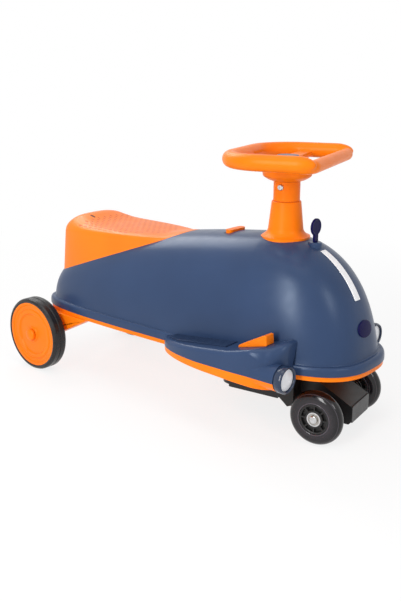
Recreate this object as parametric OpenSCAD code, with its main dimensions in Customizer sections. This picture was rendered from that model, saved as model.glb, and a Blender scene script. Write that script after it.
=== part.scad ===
// Wiggle car: a child's ride-on that is driven by swinging its steering wheel.
// Lengths are in millimetres. +X is the front, +Y the car's left, +Z up.
// The origin lies on the floor under the middle of the car.

/* [Chassis] */
// Distance of the rear axle ahead of the body's rear wall
axle_in = 20.5; // [16:0.5:26]
// Reach of the front lip ahead of the steering axis
nose_ahead = 163; // [155:0.5:175]
// Height of the seam between the body and the base
seam_z = 115.5; // [112:0.5:122]
// Depth of the base lip below the seam
lip_h = 7.5; // [6:0.5:9]
// Thickness of the base floor and of its rim
floor_t = 3; // [2:0.5:4]
// Inset of the base lip from the body flange
lip_in = 1.5; // [0.5:0.5:2.5]
// Angle at which the steering stands, to the left of straight ahead
steer_rest = 7; // [0:0.5:15]

/* [Body shell] */
// Width of the body wall at its foot
body_w = 204; // [190:1:210]
// Height of the flange round the foot of the body
flange_h = 14.5; // [12:0.5:18]
// How far the flange stands out at the sides
flange_side = 5; // [3:0.5:8]
// How far the flange stands out at the nose
flange_front = 11; // [6:0.5:14]
// How far the flange stands out at the tail
flange_rear = 10; // [6:0.5:14]
// Height of the dome above the flange
crown_h = 167; // [155:1:180]
// Distance of the dome's crown behind the steering axis
crown_back = 20; // [16:0.5:22]
// Length of the body from the crown to the rear wall
rear_len = 464; // [450:1:480]
// Inward lean of the nose toward the crown, as a ratio
lean_front = 0.12; // [0.05:0.01:0.2]
// Inward lean of the tail toward the crown, as a ratio
lean_rear = 0.045; // [0.02:0.005:0.1]
// Inward lean of the sides toward the crown, as a ratio
lean_side = 0.05; // [0.02:0.01:0.1]
// Fall of the ridge toward the tail, as a ratio
ridge_fall = 0.285; // [0.24:0.005:0.32]
// Roundness exponent of the dome's cross section
dome_m = 2.5; // [2.2:0.1:3]
// Roundness exponent of the dome's fall to the tail
tail_m = 3; // [2.5:0.1:3.5]
// Roundness exponent of the nose at the flange
nose_n = 2.75; // [2.5:0.05:3.2]
// Roundness exponent of the nose near the crown
nose_top_n = 2.4; // [2.2:0.05:2.8]
// Roundness exponent of the tail at the flange
tail_n = 5.5; // [4.5:0.1:6]
// Roundness exponent of the tail near the crown
tail_top_n = 3; // [2.5:0.1:4]
// Wall thickness of the body shell
shell_t = 3; // [2.5:0.25:4]

/* [Seat] */
// Distance of the seat's front tip behind the steering axis
seat_tip_back = 172; // [165:1:185]
// Drop from the crown to the joint between seat and body, carried on to the rear wall
joint_down = 128.8; // [120:0.2:136]
// Distance of the seat's middle ahead of the body's rear wall
seat_mid_in = 154; // [140:1:168]
// Lift of the seat's lower edge at its rear end
lift_h = 10; // [6:0.5:13]
// Where that lift starts, ahead of the body's rear wall
lift_in = 38; // [32:1:44]
// Length over which the lower edge lifts
lift_len = 22; // [18:1:28]
// Drop from the crown to the seat's rim at its rear
rim_down = 35; // [27:1:42]
// Rise of the seat's rim toward the front, per millimetre
seat_rim_rise = 0.02; // [0.01:0.01:0.06]
// Drop from the crown to the saddle
saddle_down = 26.5; // [21:0.5:31]
// Extra height of the bump at the rear of the seat
bump_h = 23; // [16:0.5:26]
// Distance of the bump ahead of the body's rear wall
bump_in = 29; // [20:1:40]
// Half length of the bump
bump_half = 46; // [40:1:60]
// Draft of the seat's walls, in degrees
seat_draft = 5; // [3:0.5:8]
// Roundness exponent of the seat's upper edge
seat_round = 7; // [3:0.5:8]
// Wall thickness of the seat
seat_t = 3; // [2.5:0.25:4]
// Height of the seat's skin over the body where it runs out to its tip
seat_skin = 1.8; // [1.4:0.1:3]
// Gap between the seat's inside and the body under it
seat_gap = 0.5; // [0.3:0.1:0.8]

/* [Foot pods] */
// Distance of the pod's rear tip behind the steering axis
pod_tail = 150; // [144:1:158]
// Reach of the pod's front ahead of the steering axis
pod_front = 86; // [83:1:90]
// Length over which the pod swells out from its rear tip
pod_swell = 112; // [90:1:130]
// Where the pod's front starts to turn in, ahead of the axis
pod_turn = 46; // [42:1:54]
// How far the pod stands out from the flange
pod_out = 43; // [38:1:48]
// Height of the foot rest above the seam at its rear tip
pod_up_tail = 11.5; // [9.5:0.5:15.5]
// Height of the foot rest above the seam, abreast of the steering axis
pod_up_mid = 29.5; // [24.5:0.5:34.5]
// Height of the foot rest above the seam at its front
pod_up_front = 51.5; // [46.5:0.5:56.5]
// Radius of the pod's upper edge
pod_edge_r = 7; // [4:0.5:9]
// Radius of the pod's upper edge over its nose
pod_nose_r = 24; // [16:1:28]
// Wall thickness of the pod cover
pod_t = 2.5; // [2:0.25:3.5]
// Depth of the orange pod base at its rear
pod_base_rear = 8; // [6:0.5:10]
// Depth of the orange pod base at its front
pod_base_front = 17.5; // [15:0.5:19]
// Number of ribs on each foot rest
rib_count = 6; // [4:1:7]
// Spacing of the ribs
rib_pitch = 5; // [4:0.5:6]
// Width of a rib
rib_w = 2; // [1.5:0.25:3]
// Height of a rib over its mat
rib_h = 1.2; // [0.8:0.2:2]
// Distance of the mat's front end behind the steering axis
mat_front = 12; // [10:1:20]
// Thickness of the ribbed mat
mat_t = 1; // [0.8:0.2:1.6]

/* [Toe wedges] */
// Rear end of the toe wedge, ahead of the steering axis
wedge_x = 8; // [4:1:14]
// Length of the toe wedge
wedge_len = 51; // [46:1:58]
// Height of the toe wedge at its rear
wedge_low = 4; // [3:0.5:6]
// Height of the toe wedge at its front
wedge_high = 15; // [11:0.5:18]
// Width of the toe wedge
wedge_w = 20; // [14:1:24]
// Distance of the wedge's outer face from the foot of the body's wall
wedge_out = 26; // [23:1:30]

/* [Headlamps] */
// Distance of a headlamp's middle from the foot of the body's wall
lamp_out = 27; // [25:0.5:30]
// Height of a headlamp's middle above the seam
lamp_up = 3; // [0.5:0.5:6.5]
// Front of the headlamp bezel, ahead of the steering axis
lamp_x = 99; // [97:0.5:103]
// Length of the headlamp bezel
lamp_len = 49; // [45:1:53]
// Outer radius of the headlamp bezel
bezel_r = 20; // [18:0.5:21]
// Radius of the lamp lens
lens_r = 15; // [13:0.5:16]
// Thickness of the lamp lens at its rim
lens_t = 4; // [3:0.5:6]
// Bulge of the lamp lens
lens_bulge = 1.5; // [0.5:0.25:3]
// Setback of the lens rim behind the bezel front
lens_back = 3; // [2:0.5:5]

/* [Nose trim] */
// Drop from the crown to the lower end of the light strip
strip_low = 83; // [77:1:89]
// Drop from the crown to the upper end of the light strip
strip_high = 17.5; // [16:0.5:23]
// Width of the light strip
strip_w = 14; // [10:0.5:18]
// Height of the badge's middle above the flange
badge_up = 43; // [38:1:48]
// Width of the badge
badge_w = 38; // [30:1:42]
// Height of the badge
badge_h = 25; // [20:1:30]
// Thickness of strip and badge
trim_t = 1.6; // [1:0.2:2.5]
// Gap between strip or badge and the body
trim_gap = 0.4; // [0.3:0.05:0.6]

/* [Steering column] */
// Radius of the steel steering shaft
shaft_r = 12.7; // [11:0.1:14]
// Wall of the steering shaft
shaft_t = 2.5; // [2:0.25:3.5]
// Reach of the shaft below its pin
shaft_down = 20; // [16:1:22]
// Reach of the shaft above the stem, into the hub
shaft_up = 19; // [17:1:21]
// Running clearance of turning fits, on the radius
run_fit = 0.05; // [0.02:0.01:0.1]
// Radius of the collar at its top
collar_top_r = 22.6; // [22:0.2:24]
// Radius of the collar above its foot
collar_low_r = 27; // [25:0.5:29]
// Radius of the collar's foot
collar_foot_r = 38; // [34:0.5:40]
// Height of the collar above the crown
collar_h = 50.5; // [47:0.5:55]
// Thickness of the collar's foot
collar_foot_t = 3; // [2:0.5:4]
// Radius of the hole through collar and body
collar_bore = 18.5; // [17:0.5:19.5]
// Length of the upper bush
bush_len = 26; // [18:1:34]
// Radius of the stem under the steering wheel
stem_r = 20.3; // [19.5:0.1:21.5]
// Length of the stem above the collar
stem_len = 29.5; // [26.5:0.5:32.5]
// Radius of the stem bolt
bolt_r = 3; // [2.5:0.25:3.5]
// Radius of the stem bolt's head
bolt_head_r = 4.6; // [4:0.2:6]
// Distance of the stem bolt below the stem's top
bolt_down = 7.5; // [6:0.5:11]
// Outer radius of the boss that carries the lower bush
boss_r = 24; // [22:0.5:27]
// Height of that boss above the seam
boss_h = 44; // [34:1:54]
// Outer radius of the lower bush
low_bush_r = 16; // [15.5:0.25:17]
// Thickness of the lower bush's flange and of the thrust washer
thrust_t = 2.7; // [2:0.1:3]

/* [Steering wheel] */
// Height of the rim's middle above the stem
ring_up = 37.5; // [33:0.5:43]
// Radius of the rim's tube at its sides and back
grip_r = 12; // [11:0.25:13]
// Radius of the rim's tube across the front
bar_r = 9.4; // [8:0.2:11]
// Drop of the front bar below the rim's middle
bar_drop = 3.6; // [2:0.2:5]
// Reach of the rim ahead of the axis
ring_front = 71; // [66:1:78]
// Reach of the rim behind the axis
ring_back = 70; // [66:1:78]
// Half width of the rim
ring_half = 108; // [100:1:112]
// Corner radius of the rim's front corners
ring_r1 = 16; // [14:1:30]
// Corner radius of the rim's rear corners
ring_r2 = 62; // [50:1:66]
// Turn of the rim on its stem, in degrees
ring_turn = 9.5; // [0:0.5:15]
// Widest radius of the hub bowl
hub_r = 38; // [34:1:42]
// Width of a spoke
spoke_w = 26; // [20:1:32]
// Thickness of a spoke
spoke_t = 9; // [7:0.5:11]
// Radius of the hub cap
cap_r = 17; // [14:0.5:20]
// Thickness of the hub cap
cap_t = 3; // [2:0.5:4]

/* [Yoke] */
// Half width of the yoke's tail
tail_half = 48; // [44:1:52]
// Reach of the yoke's tail behind the axis
tail_len = 90; // [82:1:94]
// Distance of the pin that locks yoke and shaft below the yoke's top
pin_down = 20; // [16:1:26]
// Height of the underside of the tail
tail_z0 = 48; // [46:1:52]
// Corner radius of the tail
tail_r = 22; // [16:1:30]
// Depth of the keel under the tail
keel_h = 7; // [5:0.5:9]
// Distance of the yoke's flat top below the base
yoke_down = 12; // [11:0.5:16]
// Half width of the front block
block_half = 33; // [28:1:38]
// Rear end of the block, ahead of the axis
block_x0 = 20; // [18:1:24]
// Front end of the block's level top
block_x1 = 52; // [46:1:56]
// Rear end of the block's underside
block_x2 = 62; // [60:1:66]
// Front of the block, ahead of the axis
block_x = 138; // [132:1:144]
// Height of the block's front edge
block_edge = 52; // [48:1:56]
// Height of the block's underside
block_z0 = 22; // [18:1:26]
// Half width of the cross beam behind the wheels
beam_half = 60; // [54:1:62]
// Thickness of the block's front cover
cover_t = 2.5; // [2:0.25:3.5]

/* [Front wheels] */
// Distance of the front axle ahead of the steering axis
front_trail = 99; // [96:0.5:104]
// Radius of a front wheel
front_r = 42.3; // [40:0.1:44]
// Width of a front wheel
front_w = 24; // [22:0.5:26]
// Distance of a front wheel's middle from the yoke's middle
front_y = 75.7; // [74:0.1:80]
// Radius of the front wheel's core
core_r = 23.4; // [21:0.2:26]
// Outer radius of a wheel bearing
bearing_r = 11; // [10:0.25:12]
// Width of a wheel bearing
bearing_w = 7; // [6:0.25:8]
// Radius of the front axle
axle_r = 4; // [3.5:0.1:5]
// Number of windows in the core
window_n = 6; // [5:1:8]
// Clearance between a wheel and what stands beside it
side_gap = 0.5; // [0.3:0.1:1]

/* [Rear wheels] */
// Radius of a rear wheel
rear_r = 67.5; // [64:0.25:69]
// Width of a rear wheel
rear_w = 28.5; // [26:0.5:30]
// Distance of the rear wheel's outer face from the foot of the body's wall
rear_out = 38.3; // [37:0.1:43]
// Radius of the rear wheel's disc
disc_r = 59.7; // [56:0.1:61]
// Radius of the rear axle
rear_axle_r = 5; // [4:0.25:6]
// Radius of the rear wheel's boss
rear_boss_r = 15; // [12:0.5:18]
// Thickness of the disc's plate
disc_t = 4; // [3:0.5:5]
// Depth of the disc's dish
dish = 5; // [3:0.5:7]
// Radius of the axle cap
axle_cap_r = 11; // [9:0.5:12]
// Width of an axle bracket
bracket_w = 30; // [24:1:36]
// Wall under the axle in its bracket
bracket_wall = 7; // [5:0.5:9]
// Length of the bracket ahead of the axle
bracket_len = 112; // [100:1:124]

/* [Key and button] */
// Distance of the key ahead of the steering axis
key_x = 54; // [53:0.5:55]
// Height of the key switch's barrel
switch_h = 14; // [12:0.5:16]
// Height of the key switch's top above the body
switch_up = 5; // [3.5:0.5:7.5]
// Radius of the key switch
switch_r = 10.5; // [9.5:0.5:11]
// Radius of the key's bow
bow_r = 12.8; // [11:0.2:14]
// Thickness of the key
key_t = 4; // [3:0.25:5]
// Width of the key's neck
neck_w = 9; // [7:0.5:10]
// Height of the bow's middle above the switch
bow_up = 22.5; // [20:0.5:25]
// Radius of the key's shank
shank_r = 3.2; // [2.5:0.1:3.6]
// Length of the shank in the switch
shank_len = 9; // [6:0.5:10]
// Distance of the push button behind the steering axis
button_back = 97; // [92:0.5:104]
// Length of the push button across the car
button_l = 42; // [38:1:48]
// Width of the push button
button_w = 13; // [11:0.5:15]
// Height of the button's top above the ridge
button_up = 4; // [3.5:0.25:5]
// Travel of the button
button_travel = 2.5; // [1.5:0.25:3]
// Gap round the button
button_gap = 0.4; // [0.3:0.1:0.6]
// Wall of the button's housing
house_t = 2; // [1.5:0.25:2.5]
// Depth of the button's housing below the ridge
house_depth = 18; // [16:1:22]

/* [Fittings] */
// Length of the sound module
module_l = 70; // [60:1:80]
// Width of the sound module
module_w = 50; // [44:1:60]
// Height of the sound module
module_h = 32; // [26:1:40]
// Distance of the rearmost base screw ahead of the axle bracket
screw_clear = 51.5; // [40:0.5:64]
// Reach of the foremost base screw ahead of the steering axis
screw_front = 60; // [50:1:66]
// Distance of a base screw from the tray's edge
screw_in = 12; // [10:1:16]
// Number of pairs of base screws
screw_rows = 4; // [3:1:4]
// Radius of a base screw's head
screw_r = 4; // [3:0.25:5]
// Height of a base screw's head
screw_h = 2; // [1.5:0.25:3]

/* [Hidden] */
$fn = 64;

navy = "#46536f";
orange = "#ff8a1c";
black = "#1c1b1d";
white = "#eef1f6";
steel = "#b9bcc2";

body_half = body_w / 2;
rear_wall = crown_back + rear_len;
steer_to_rear = rear_wall - axle_in;
seat_mid_back = rear_wall - seat_mid_in;
lift_back = rear_wall - lift_in;
bump_back = rear_wall - bump_in;
wedge_y = body_half + wedge_out;
lamp_y = body_half + lamp_out;
rear_face = body_half + rear_out;
steer_x = (steer_to_rear + rear_r - nose_ahead) / 2;
wall_z = seam_z + flange_h;
crown_z = wall_z + crown_h;
base_z = seam_z - lip_h;
seat_rim_z = crown_z - rim_down;
saddle_z = crown_z - saddle_down;
pod_z_tail = seam_z + pod_up_tail;
pod_z_mid = seam_z + pod_up_mid;
pod_z_front = seam_z + pod_up_front;
lamp_z = seam_z + lamp_up;
strip_z0 = crown_z - strip_low;
strip_z1 = crown_z - strip_high;
badge_z = wall_z + badge_up;
collar_z1 = crown_z + collar_h;
stem_z1 = collar_z1 + stem_len;
shaft_z1 = stem_z1 + shaft_up;
bolt_z = stem_z1 - bolt_down;
ring_z = stem_z1 + ring_up;
yoke_z1 = base_z - yoke_down;
pin_z = yoke_z1 - pin_down;
shaft_z0 = pin_z - shaft_down;
front_len = nose_ahead + crown_back - flange_front;
eps = 0.01;
round_n = 96;
dome_n = 15;

// Every piece is drawn about the steering axis and then moved to the car's middle.
module placed() translate([steer_x, 0, 0]) children();
module steered() placed() rotate([0, 0, steer_rest]) children();

function signed_pow(v, e) = sign(v) * pow(abs(v), e);

// A point of a lens-shaped outline about the crown: front and rear halves differ.
function outline_pt(a, front, rear, half, nf, nr) =
  let (n = cos(a) >= 0 ? nf : nr, len = cos(a) >= 0 ? front : rear)
  [-crown_back + len * signed_pow(cos(a), 2 / n), half * signed_pow(sin(a), 2 / n)];

function nose_at(t) = nose_top_n + (nose_n - nose_top_n) * pow(1 - t, 4);
function tail_at(t) = tail_n - (tail_n - tail_top_n) * t * t;
function swell_at(t, m = dome_m) = pow(max(0, 1 - pow(t, m)), 1 / m);
function fall_at(x) = x < -crown_back ? 1 - ridge_fall * (-crown_back - x) / rear_len : 1;

// One ring of the dome at level t, drawn in by d for the inside of the wall.
function dome_ring(t, d) =
  let (s = swell_at(t))
  [for (i = [0 : round_n - 1])
    let (p = outline_pt(i * 360 / round_n,
        (front_len - d) * (1 - lean_front * t) * s,
        (rear_len - d) * (1 - lean_rear * t) * swell_at(t, tail_m),
        (body_half - d) * (1 - lean_side * t) * s, nose_at(t), tail_at(t)))
    [p.x, p.y, wall_z + (crown_h - d) * t * fall_at(p.x)]];

function dome_rings(d) = [for (k = [0 : dome_n - 1]) dome_ring(pow(sin(90 * k / dome_n), 2 / dome_m), d)];

// One ring of the flange: share g of its reach, drawn in by d, at height z.
function flange_ring(g, d, z) =
  [for (i = [0 : round_n - 1])
    let (p = outline_pt(i * 360 / round_n, front_len + g * flange_front - d,
        rear_len + g * flange_rear - d, body_half + g * flange_side - d, nose_n, tail_n))
    [p.x, p.y, z]];

// Half width of the dome's outside at a place along the car and a height.
function dome_half(x, z) =
  let (t = max(0, (z - wall_z) / (crown_h * fall_at(x))))
  t >= 1 ? 0 :
  let (s = swell_at(t), ahead = x >= -crown_back,
    len = ahead ? front_len * (1 - lean_front * t) * s : rear_len * (1 - lean_rear * t) * swell_at(t, tail_m),
    n = ahead ? nose_at(t) : tail_at(t),
    u = len <= 0 ? 1 : abs(x + crown_back) / len)
  u >= 1 ? 0 : body_half * (1 - lean_side * t) * s * pow(1 - pow(u, n), 1 / n);

// Height of the dome's outside over a point, found by halving.
function dome_top(x, y, lo, hi, k = 18) =
  k == 0 ? (lo + hi) / 2 :
  let (m = (lo + hi) / 2)
  dome_half(x, m) > abs(y) ? dome_top(x, y, m, hi, k - 1) : dome_top(x, y, lo, m, k - 1);
function dome_z(x, y) = dome_top(x, y, wall_z, crown_z);

// Place of the nose's outside at a distance from the middle and a height.
function nose_x(y, z) =
  let (t = (z - wall_z) / crown_h, s = swell_at(t), n = nose_at(t),
    u = abs(y) / (body_half * (1 - lean_side * t) * s))
  -crown_back + front_len * (1 - lean_front * t) * s * pow(1 - pow(u, n), 1 / n);

function flange_half(x) =
  let (ahead = x >= -crown_back, len = ahead ? front_len + flange_front : rear_len + flange_rear,
    n = ahead ? nose_n : tail_n, u = min(1, abs(x + crown_back) / len))
  (body_half + flange_side) * pow(1 - pow(u, n), 1 / n);

// Closed skin through a list of rings, with a point at each end.
module skin(rings, first, last) {
  n = len(rings[0]);
  m = len(rings);
  pts = concat([for (r = rings) each r], [first, last]);
  faces = concat(
    [for (i = [0 : n - 1]) [n * m, (i + 1) % n, i]],
    [for (k = [0 : m - 2], i = [0 : n - 1])
      each [[k * n + i, k * n + (i + 1) % n, (k + 1) * n + i],
        [k * n + (i + 1) % n, (k + 1) * n + (i + 1) % n, (k + 1) * n + i]]],
    [for (i = [0 : n - 1]) [n * m + 1, (m - 1) * n + i, (m - 1) * n + (i + 1) % n]]);
  polyhedron(points = pts, faces = [for (f = faces) [f[2], f[1], f[0]]], convexity = 6);
}

function middle(r) = [for (j = [0 : 2]) [for (p = r) p[j]] * [for (p = r) 1] / len(r)];

module dome_solid() {
  rings = dome_rings(0);
  skin(rings, [-crown_back, 0, wall_z], [-crown_back, 0, crown_z]);
}

// Rectangular tube opening through the ridge for the push button.
module button_slot(grow) {
  translate([-button_back - button_w / 2 - grow, -button_l / 2 - grow, house_z0 - eps])
    cube([button_w + 2 * grow, button_l + 2 * grow, crown_z - house_z0 + 1]);
}

ridge_button = dome_z(-button_back, 0);
house_z0 = ridge_button - house_depth;
house_in = shell_t / 2;

module body_shell() color(navy) placed() {
  outer = concat([flange_ring(1, 0, seam_z), flange_ring(0.92, 0, seam_z + flange_h * 0.66),
      flange_ring(0.6, 0, seam_z + flange_h * 0.88), flange_ring(0.15, 0, wall_z - 0.6)], dome_rings(0));
  inner = concat([flange_ring(1, shell_t, seam_z), flange_ring(0.92, shell_t, seam_z + flange_h * 0.5),
      flange_ring(0.3, shell_t, wall_z - shell_t)], dome_rings(shell_t));
  last = len(inner) - 1;
  difference() {
    skin(concat([for (k = [0 : last]) inner[last - k]], outer),
      [-crown_back, 0, crown_z - shell_t], [-crown_back, 0, crown_z]);
    translate([0, 0, wall_z]) cylinder(r = collar_bore, h = crown_h + 1);
    translate([key_x, 0, wall_z]) cylinder(r = shank_r + 2 * run_fit, h = crown_h + 1);
    button_slot(button_gap + house_t);
  }
}

module base_outline(d) {
  polygon([for (p = flange_ring(1, d, 0)) [p.x, p.y]]);
}

module base_tray() color(orange) placed() {
  difference() {
    union() {
      difference() {
        translate([0, 0, base_z]) linear_extrude(lip_h) base_outline(lip_in);
        translate([0, 0, base_z + floor_t]) linear_extrude(lip_h) base_outline(lip_in + floor_t);
      }
      translate([0, 0, base_z]) cylinder(r = boss_r, h = lip_h + boss_h);
    }
    translate([0, 0, base_z - 1]) cylinder(r = low_bush_r, h = lip_h + boss_h + 2);
  }
}

// Joint between seat and body: a plane that rises toward the front, lifted at the seat's rear end.
tip_z = dome_z(-seat_tip_back, 0);
function rear_lift(x) = let (q = max(0, min(1, (-x - lift_back) / lift_len))) lift_h * q * q * (3 - 2 * q);
joint_rear_z = crown_z - joint_down;
joint_rise = (tip_z - joint_rear_z) / (rear_wall - seat_tip_back);
function joint_z(x) = joint_rear_z + joint_rise * (x + rear_wall) + rear_lift(x);
function seat_reach(a, lo, hi, k = 18) =
  k == 0 ? (lo + hi) / 2 :
  let (m = (lo + hi) / 2, x = -seat_mid_back + m * cos(a), y = m * sin(a))
  dome_half(x, joint_z(x)) > abs(y) ? seat_reach(a, m, hi, k - 1) : seat_reach(a, lo, m, k - 1);

seat_n = 72;
seat_edge = [for (i = [0 : seat_n - 1])
  let (a = i * 360 / seat_n, r = seat_reach(a, 10, seat_mid_back - seat_tip_back + eps + 60)) [r, a]];
function rim_z(x) = max(seat_rim_z + seat_rim_rise * (x + bump_back), joint_z(x) + 1);
function foot_xy(i, d) = let (r = seat_edge[i][0] - d, a = seat_edge[i][1])
  [-seat_mid_back + r * cos(a), r * sin(a)];
function draft_in(i) = let (p = foot_xy(i, 0)) tan(seat_draft) * (rim_z(p.x) - joint_z(p.x));
function seat_xy(i, s, d) = let (p = foot_xy(i, d + draft_in(i)))
  [-seat_mid_back + s * (p.x + seat_mid_back), s * p.y];
function saddle_at(x) = saddle_z + bump_h * exp(-pow((x + bump_back) / bump_half, 2));
function seat_top(i, s) =
  let (p = seat_xy(i, s, 0), e = seat_xy(i, 1, 0), b = 1 - pow(s, seat_round))
  max(rim_z(e.x) * (1 - b) + saddle_at(p.x) * b, dome_z(p.x, p.y) + seat_skin);
seat_steps = [0.97, 0.92, 0.84, 0.72, 0.56, 0.38, 0.18];

module seat() color(orange) placed() {
  outer = concat(
    [[for (i = [0 : seat_n - 1]) let (p = foot_xy(i, -seat_gap)) [p.x, p.y, joint_z(p.x)]],
     [for (i = [0 : seat_n - 1]) let (p = seat_xy(i, 1, 0)) [p.x, p.y, rim_z(p.x)]]],
    [for (s = seat_steps) [for (i = [0 : seat_n - 1]) let (p = seat_xy(i, s, 0)) [p.x, p.y, seat_top(i, s)]]]);
  inner = concat(
    [[for (i = [0 : seat_n - 1]) let (p = foot_xy(i, seat_t))
        [p.x, p.y, dome_z(p.x, p.y) + seat_gap]],
     [for (i = [0 : seat_n - 1]) let (p = seat_xy(i, 1, seat_t))
        [p.x, p.y, max(dome_z(p.x, p.y) + 1.5 * seat_gap, seat_top(i, 1) - seat_t)]]],
    [for (s = seat_steps) [for (i = [0 : seat_n - 1]) let (p = seat_xy(i, s, seat_t))
        [p.x, p.y, max(dome_z(p.x, p.y) + 2 * seat_gap, seat_top(i, s) - seat_t)]]]);
  last = len(inner) - 1;
  skin(concat([for (k = [0 : last]) inner[last - k]], outer),
    [-seat_mid_back, 0, saddle_at(-seat_mid_back) - seat_t], [-seat_mid_back, 0, saddle_at(-seat_mid_back)]);
}

// Foot pods, drawn for the left side and mirrored for the right.
pod_bend = 1.5;
nose_round = 9;
function turn_in(x) = let (s = max(0, x - pod_turn) / (pod_front - pod_turn))
  1 - pow(max(0, 1 - pow(s, pod_bend)), 1 / pod_bend);
function pod_swollen(x) = let (s = min(1, (x + pod_tail) / pod_swell))
  flange_half(x) + 1 + (pod_out - 1) * sqrt(max(0, 1 - pow(1 - s, 2)));
function pod_in(x) = flange_half(x) + seat_gap;
function pod_half(x) = let (w = pod_swollen(x)) w - (w - pod_in(x) - 1) * turn_in(x);
function pod_drop(x) = let (q = max(0, x - pod_front + nose_round)) nose_round - sqrt(nose_round * nose_round - q * q);
function pod_z(x) = x < 0
  ? pod_z_mid + (pod_z_mid - pod_z_tail) * x / pod_tail
  : pod_z_mid + (pod_z_front - pod_z_mid) * x / pod_front - pod_drop(x);
function pod_low(x) = seam_z - pod_base_rear
  - (pod_base_front - pod_base_rear) * (x + pod_tail) / (pod_front + pod_tail);
pod_n = 30;
function pod_x(k) = -pod_tail + 1 + (pod_front + pod_tail - 2) * (1 - cos(180 * k / pod_n)) / 2;
pod_list = [for (k = [0 : pod_n]) pod_x(k)];
edge_n = 5;

// Section across a pod, drawn in by d, with its foot at height z.
// Its inner edge stands on the flange and, where the pod is taller, follows the body's wall.
function pod_wall(x, top) = let (share = max(0, min(1, (top - wall_z) / 5)))
  share * (dome_half(x, top) - flange_half(x));
function pod_edge(x) = let (s = max(0, min(1, (x - pod_turn) / (pod_front - pod_turn) * 2)))
  min(pod_edge_r + (pod_nose_r - pod_edge_r) * s, (pod_half(x) - pod_in(x)) * (0.6 + 0.25 * s));
function pod_section(x, d, z) =
  let (o = pod_half(x) - d, f = pod_in(x) + d, top = pod_z(x) - d, r = max(0.5, pod_edge(x) - d))
  concat([[x, o, z], [x, o, top - r]],
    [for (j = [1 : edge_n]) let (a = 90 * j / edge_n) [x, o - r + r * cos(a), top - r + r * sin(a)]],
    [[x, f + pod_wall(x, pod_z(x)), top], [x, f, min(top, wall_z) - 1], [x, f, z]]);

module pod_loft(d, z) {
  rings = [for (x = pod_list) pod_section(x, d, z)];
  skin(rings, middle(rings[0]), middle(rings[pod_n]));
}

module lamp_space() {
  translate([lamp_x - lamp_len, lamp_y, lamp_z]) rotate([0, 90, 0])
    cylinder(r = bezel_r, h = lamp_len + 20);
}

module footrest_shape() {
  inside = [for (x = pod_list) if (x > -pod_tail + 22 && x < pod_front - 14) pod_section(x, pod_t, seam_z - 1)];
  difference() {
    pod_loft(0, seam_z);
    skin(inside, middle(inside[0]), middle(inside[len(inside) - 1]));
    lamp_space();
  }
}

module footrest_base_shape() {
  rings = [for (x = pod_list) let (o = pod_half(x) - 0.4, f = min(pod_in(x), o - 0.4))
    [[x, f, pod_low(x)], [x, max(f + 0.1, o - 1), pod_low(x)], [x, o, seam_z], [x, f, seam_z]]];
  difference() {
    skin(rings, middle(rings[0]), middle(rings[pod_n]));
    lamp_space();
  }
}

// Ribbed mat on the foot rest: its lines run along the car.
mat_y0 = body_half + 2;
function mat_start(y) = let (q = min(0.98, (y + pod_edge_r + 2 - flange_half(-pod_tail / 2) - 1) / (pod_out - 1)))
  -pod_tail + max(14, pod_swell * (1 - sqrt(1 - q * q)));
module mat_line(y, w, h) {
  x0 = mat_start(y + w);
  translate([0, y + w, 0]) rotate([90, 0, 0]) linear_extrude(w)
    polygon([[x0, pod_z(x0)], [-mat_front, pod_z(-mat_front)], [-mat_front, pod_z(-mat_front) + h], [x0, pod_z(x0) + h]]);
}
module foot_mat_shape() {
  mat_line(mat_y0, (rib_count - 1) * rib_pitch + rib_w, mat_t);
  for (k = [0 : rib_count - 1]) mat_line(mat_y0 + k * rib_pitch, rib_w, mat_t + rib_h);
}

module toe_wedge_shape() {
  x1 = wedge_x + wedge_len;
  translate([0, wedge_y, 0]) rotate([90, 0, 0]) linear_extrude(wedge_w)
    polygon([[wedge_x, pod_z(wedge_x)], [x1, pod_z(x1)], [x1 - 1, pod_z(x1) + wedge_high],
      [x1 - 5, pod_z(x1) + wedge_high], [wedge_x + 1, pod_z(wedge_x) + wedge_low]]);
}

module lamp_bezel_shape() {
  translate([lamp_x, lamp_y, lamp_z]) rotate([0, -90, 0]) rotate_extrude()
    polygon([[lens_r + 0.6, 0], [bezel_r - 1.5, 0], [bezel_r, 1.5], [bezel_r, lamp_len], [0, lamp_len],
      [0, lens_back + lens_t], [lens_r, lens_back + lens_t], [lens_r, lens_back]]);
}

module lamp_lens_shape() {
  translate([lamp_x - lens_back - lens_t, lamp_y, lamp_z]) rotate([0, 90, 0]) rotate_extrude()
    polygon(concat([[0, 0], [lens_r, 0], [lens_r, lens_t - 0.5]],
      [for (k = [1 : 8]) let (r = lens_r * (1 - k / 8)) [r, lens_t + lens_bulge * (1 - pow(r / lens_r, 2))]]));
}

module on_side(s) placed() mirror([0, s < 0 ? 1 : 0, 0]) children();
module footrest_right() color(navy) on_side(-1) footrest_shape();
module footrest_left() color(navy) on_side(1) footrest_shape();
module foot_mat_right() color(navy) on_side(-1) foot_mat_shape();
module foot_mat_left() color(navy) on_side(1) foot_mat_shape();
module footrest_base_right() color(orange) on_side(-1) footrest_base_shape();
module footrest_base_left() color(orange) on_side(1) footrest_base_shape();
module toe_wedge_right() color(orange) on_side(-1) toe_wedge_shape();
module toe_wedge_left() color(orange) on_side(1) toe_wedge_shape();
module lamp_bezel_right() color(navy) on_side(-1) lamp_bezel_shape();
module lamp_bezel_left() color(navy) on_side(1) lamp_bezel_shape();
module lamp_lens_right() color(white) on_side(-1) lamp_lens_shape();
module lamp_lens_left() color(white) on_side(1) lamp_lens_shape();

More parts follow.
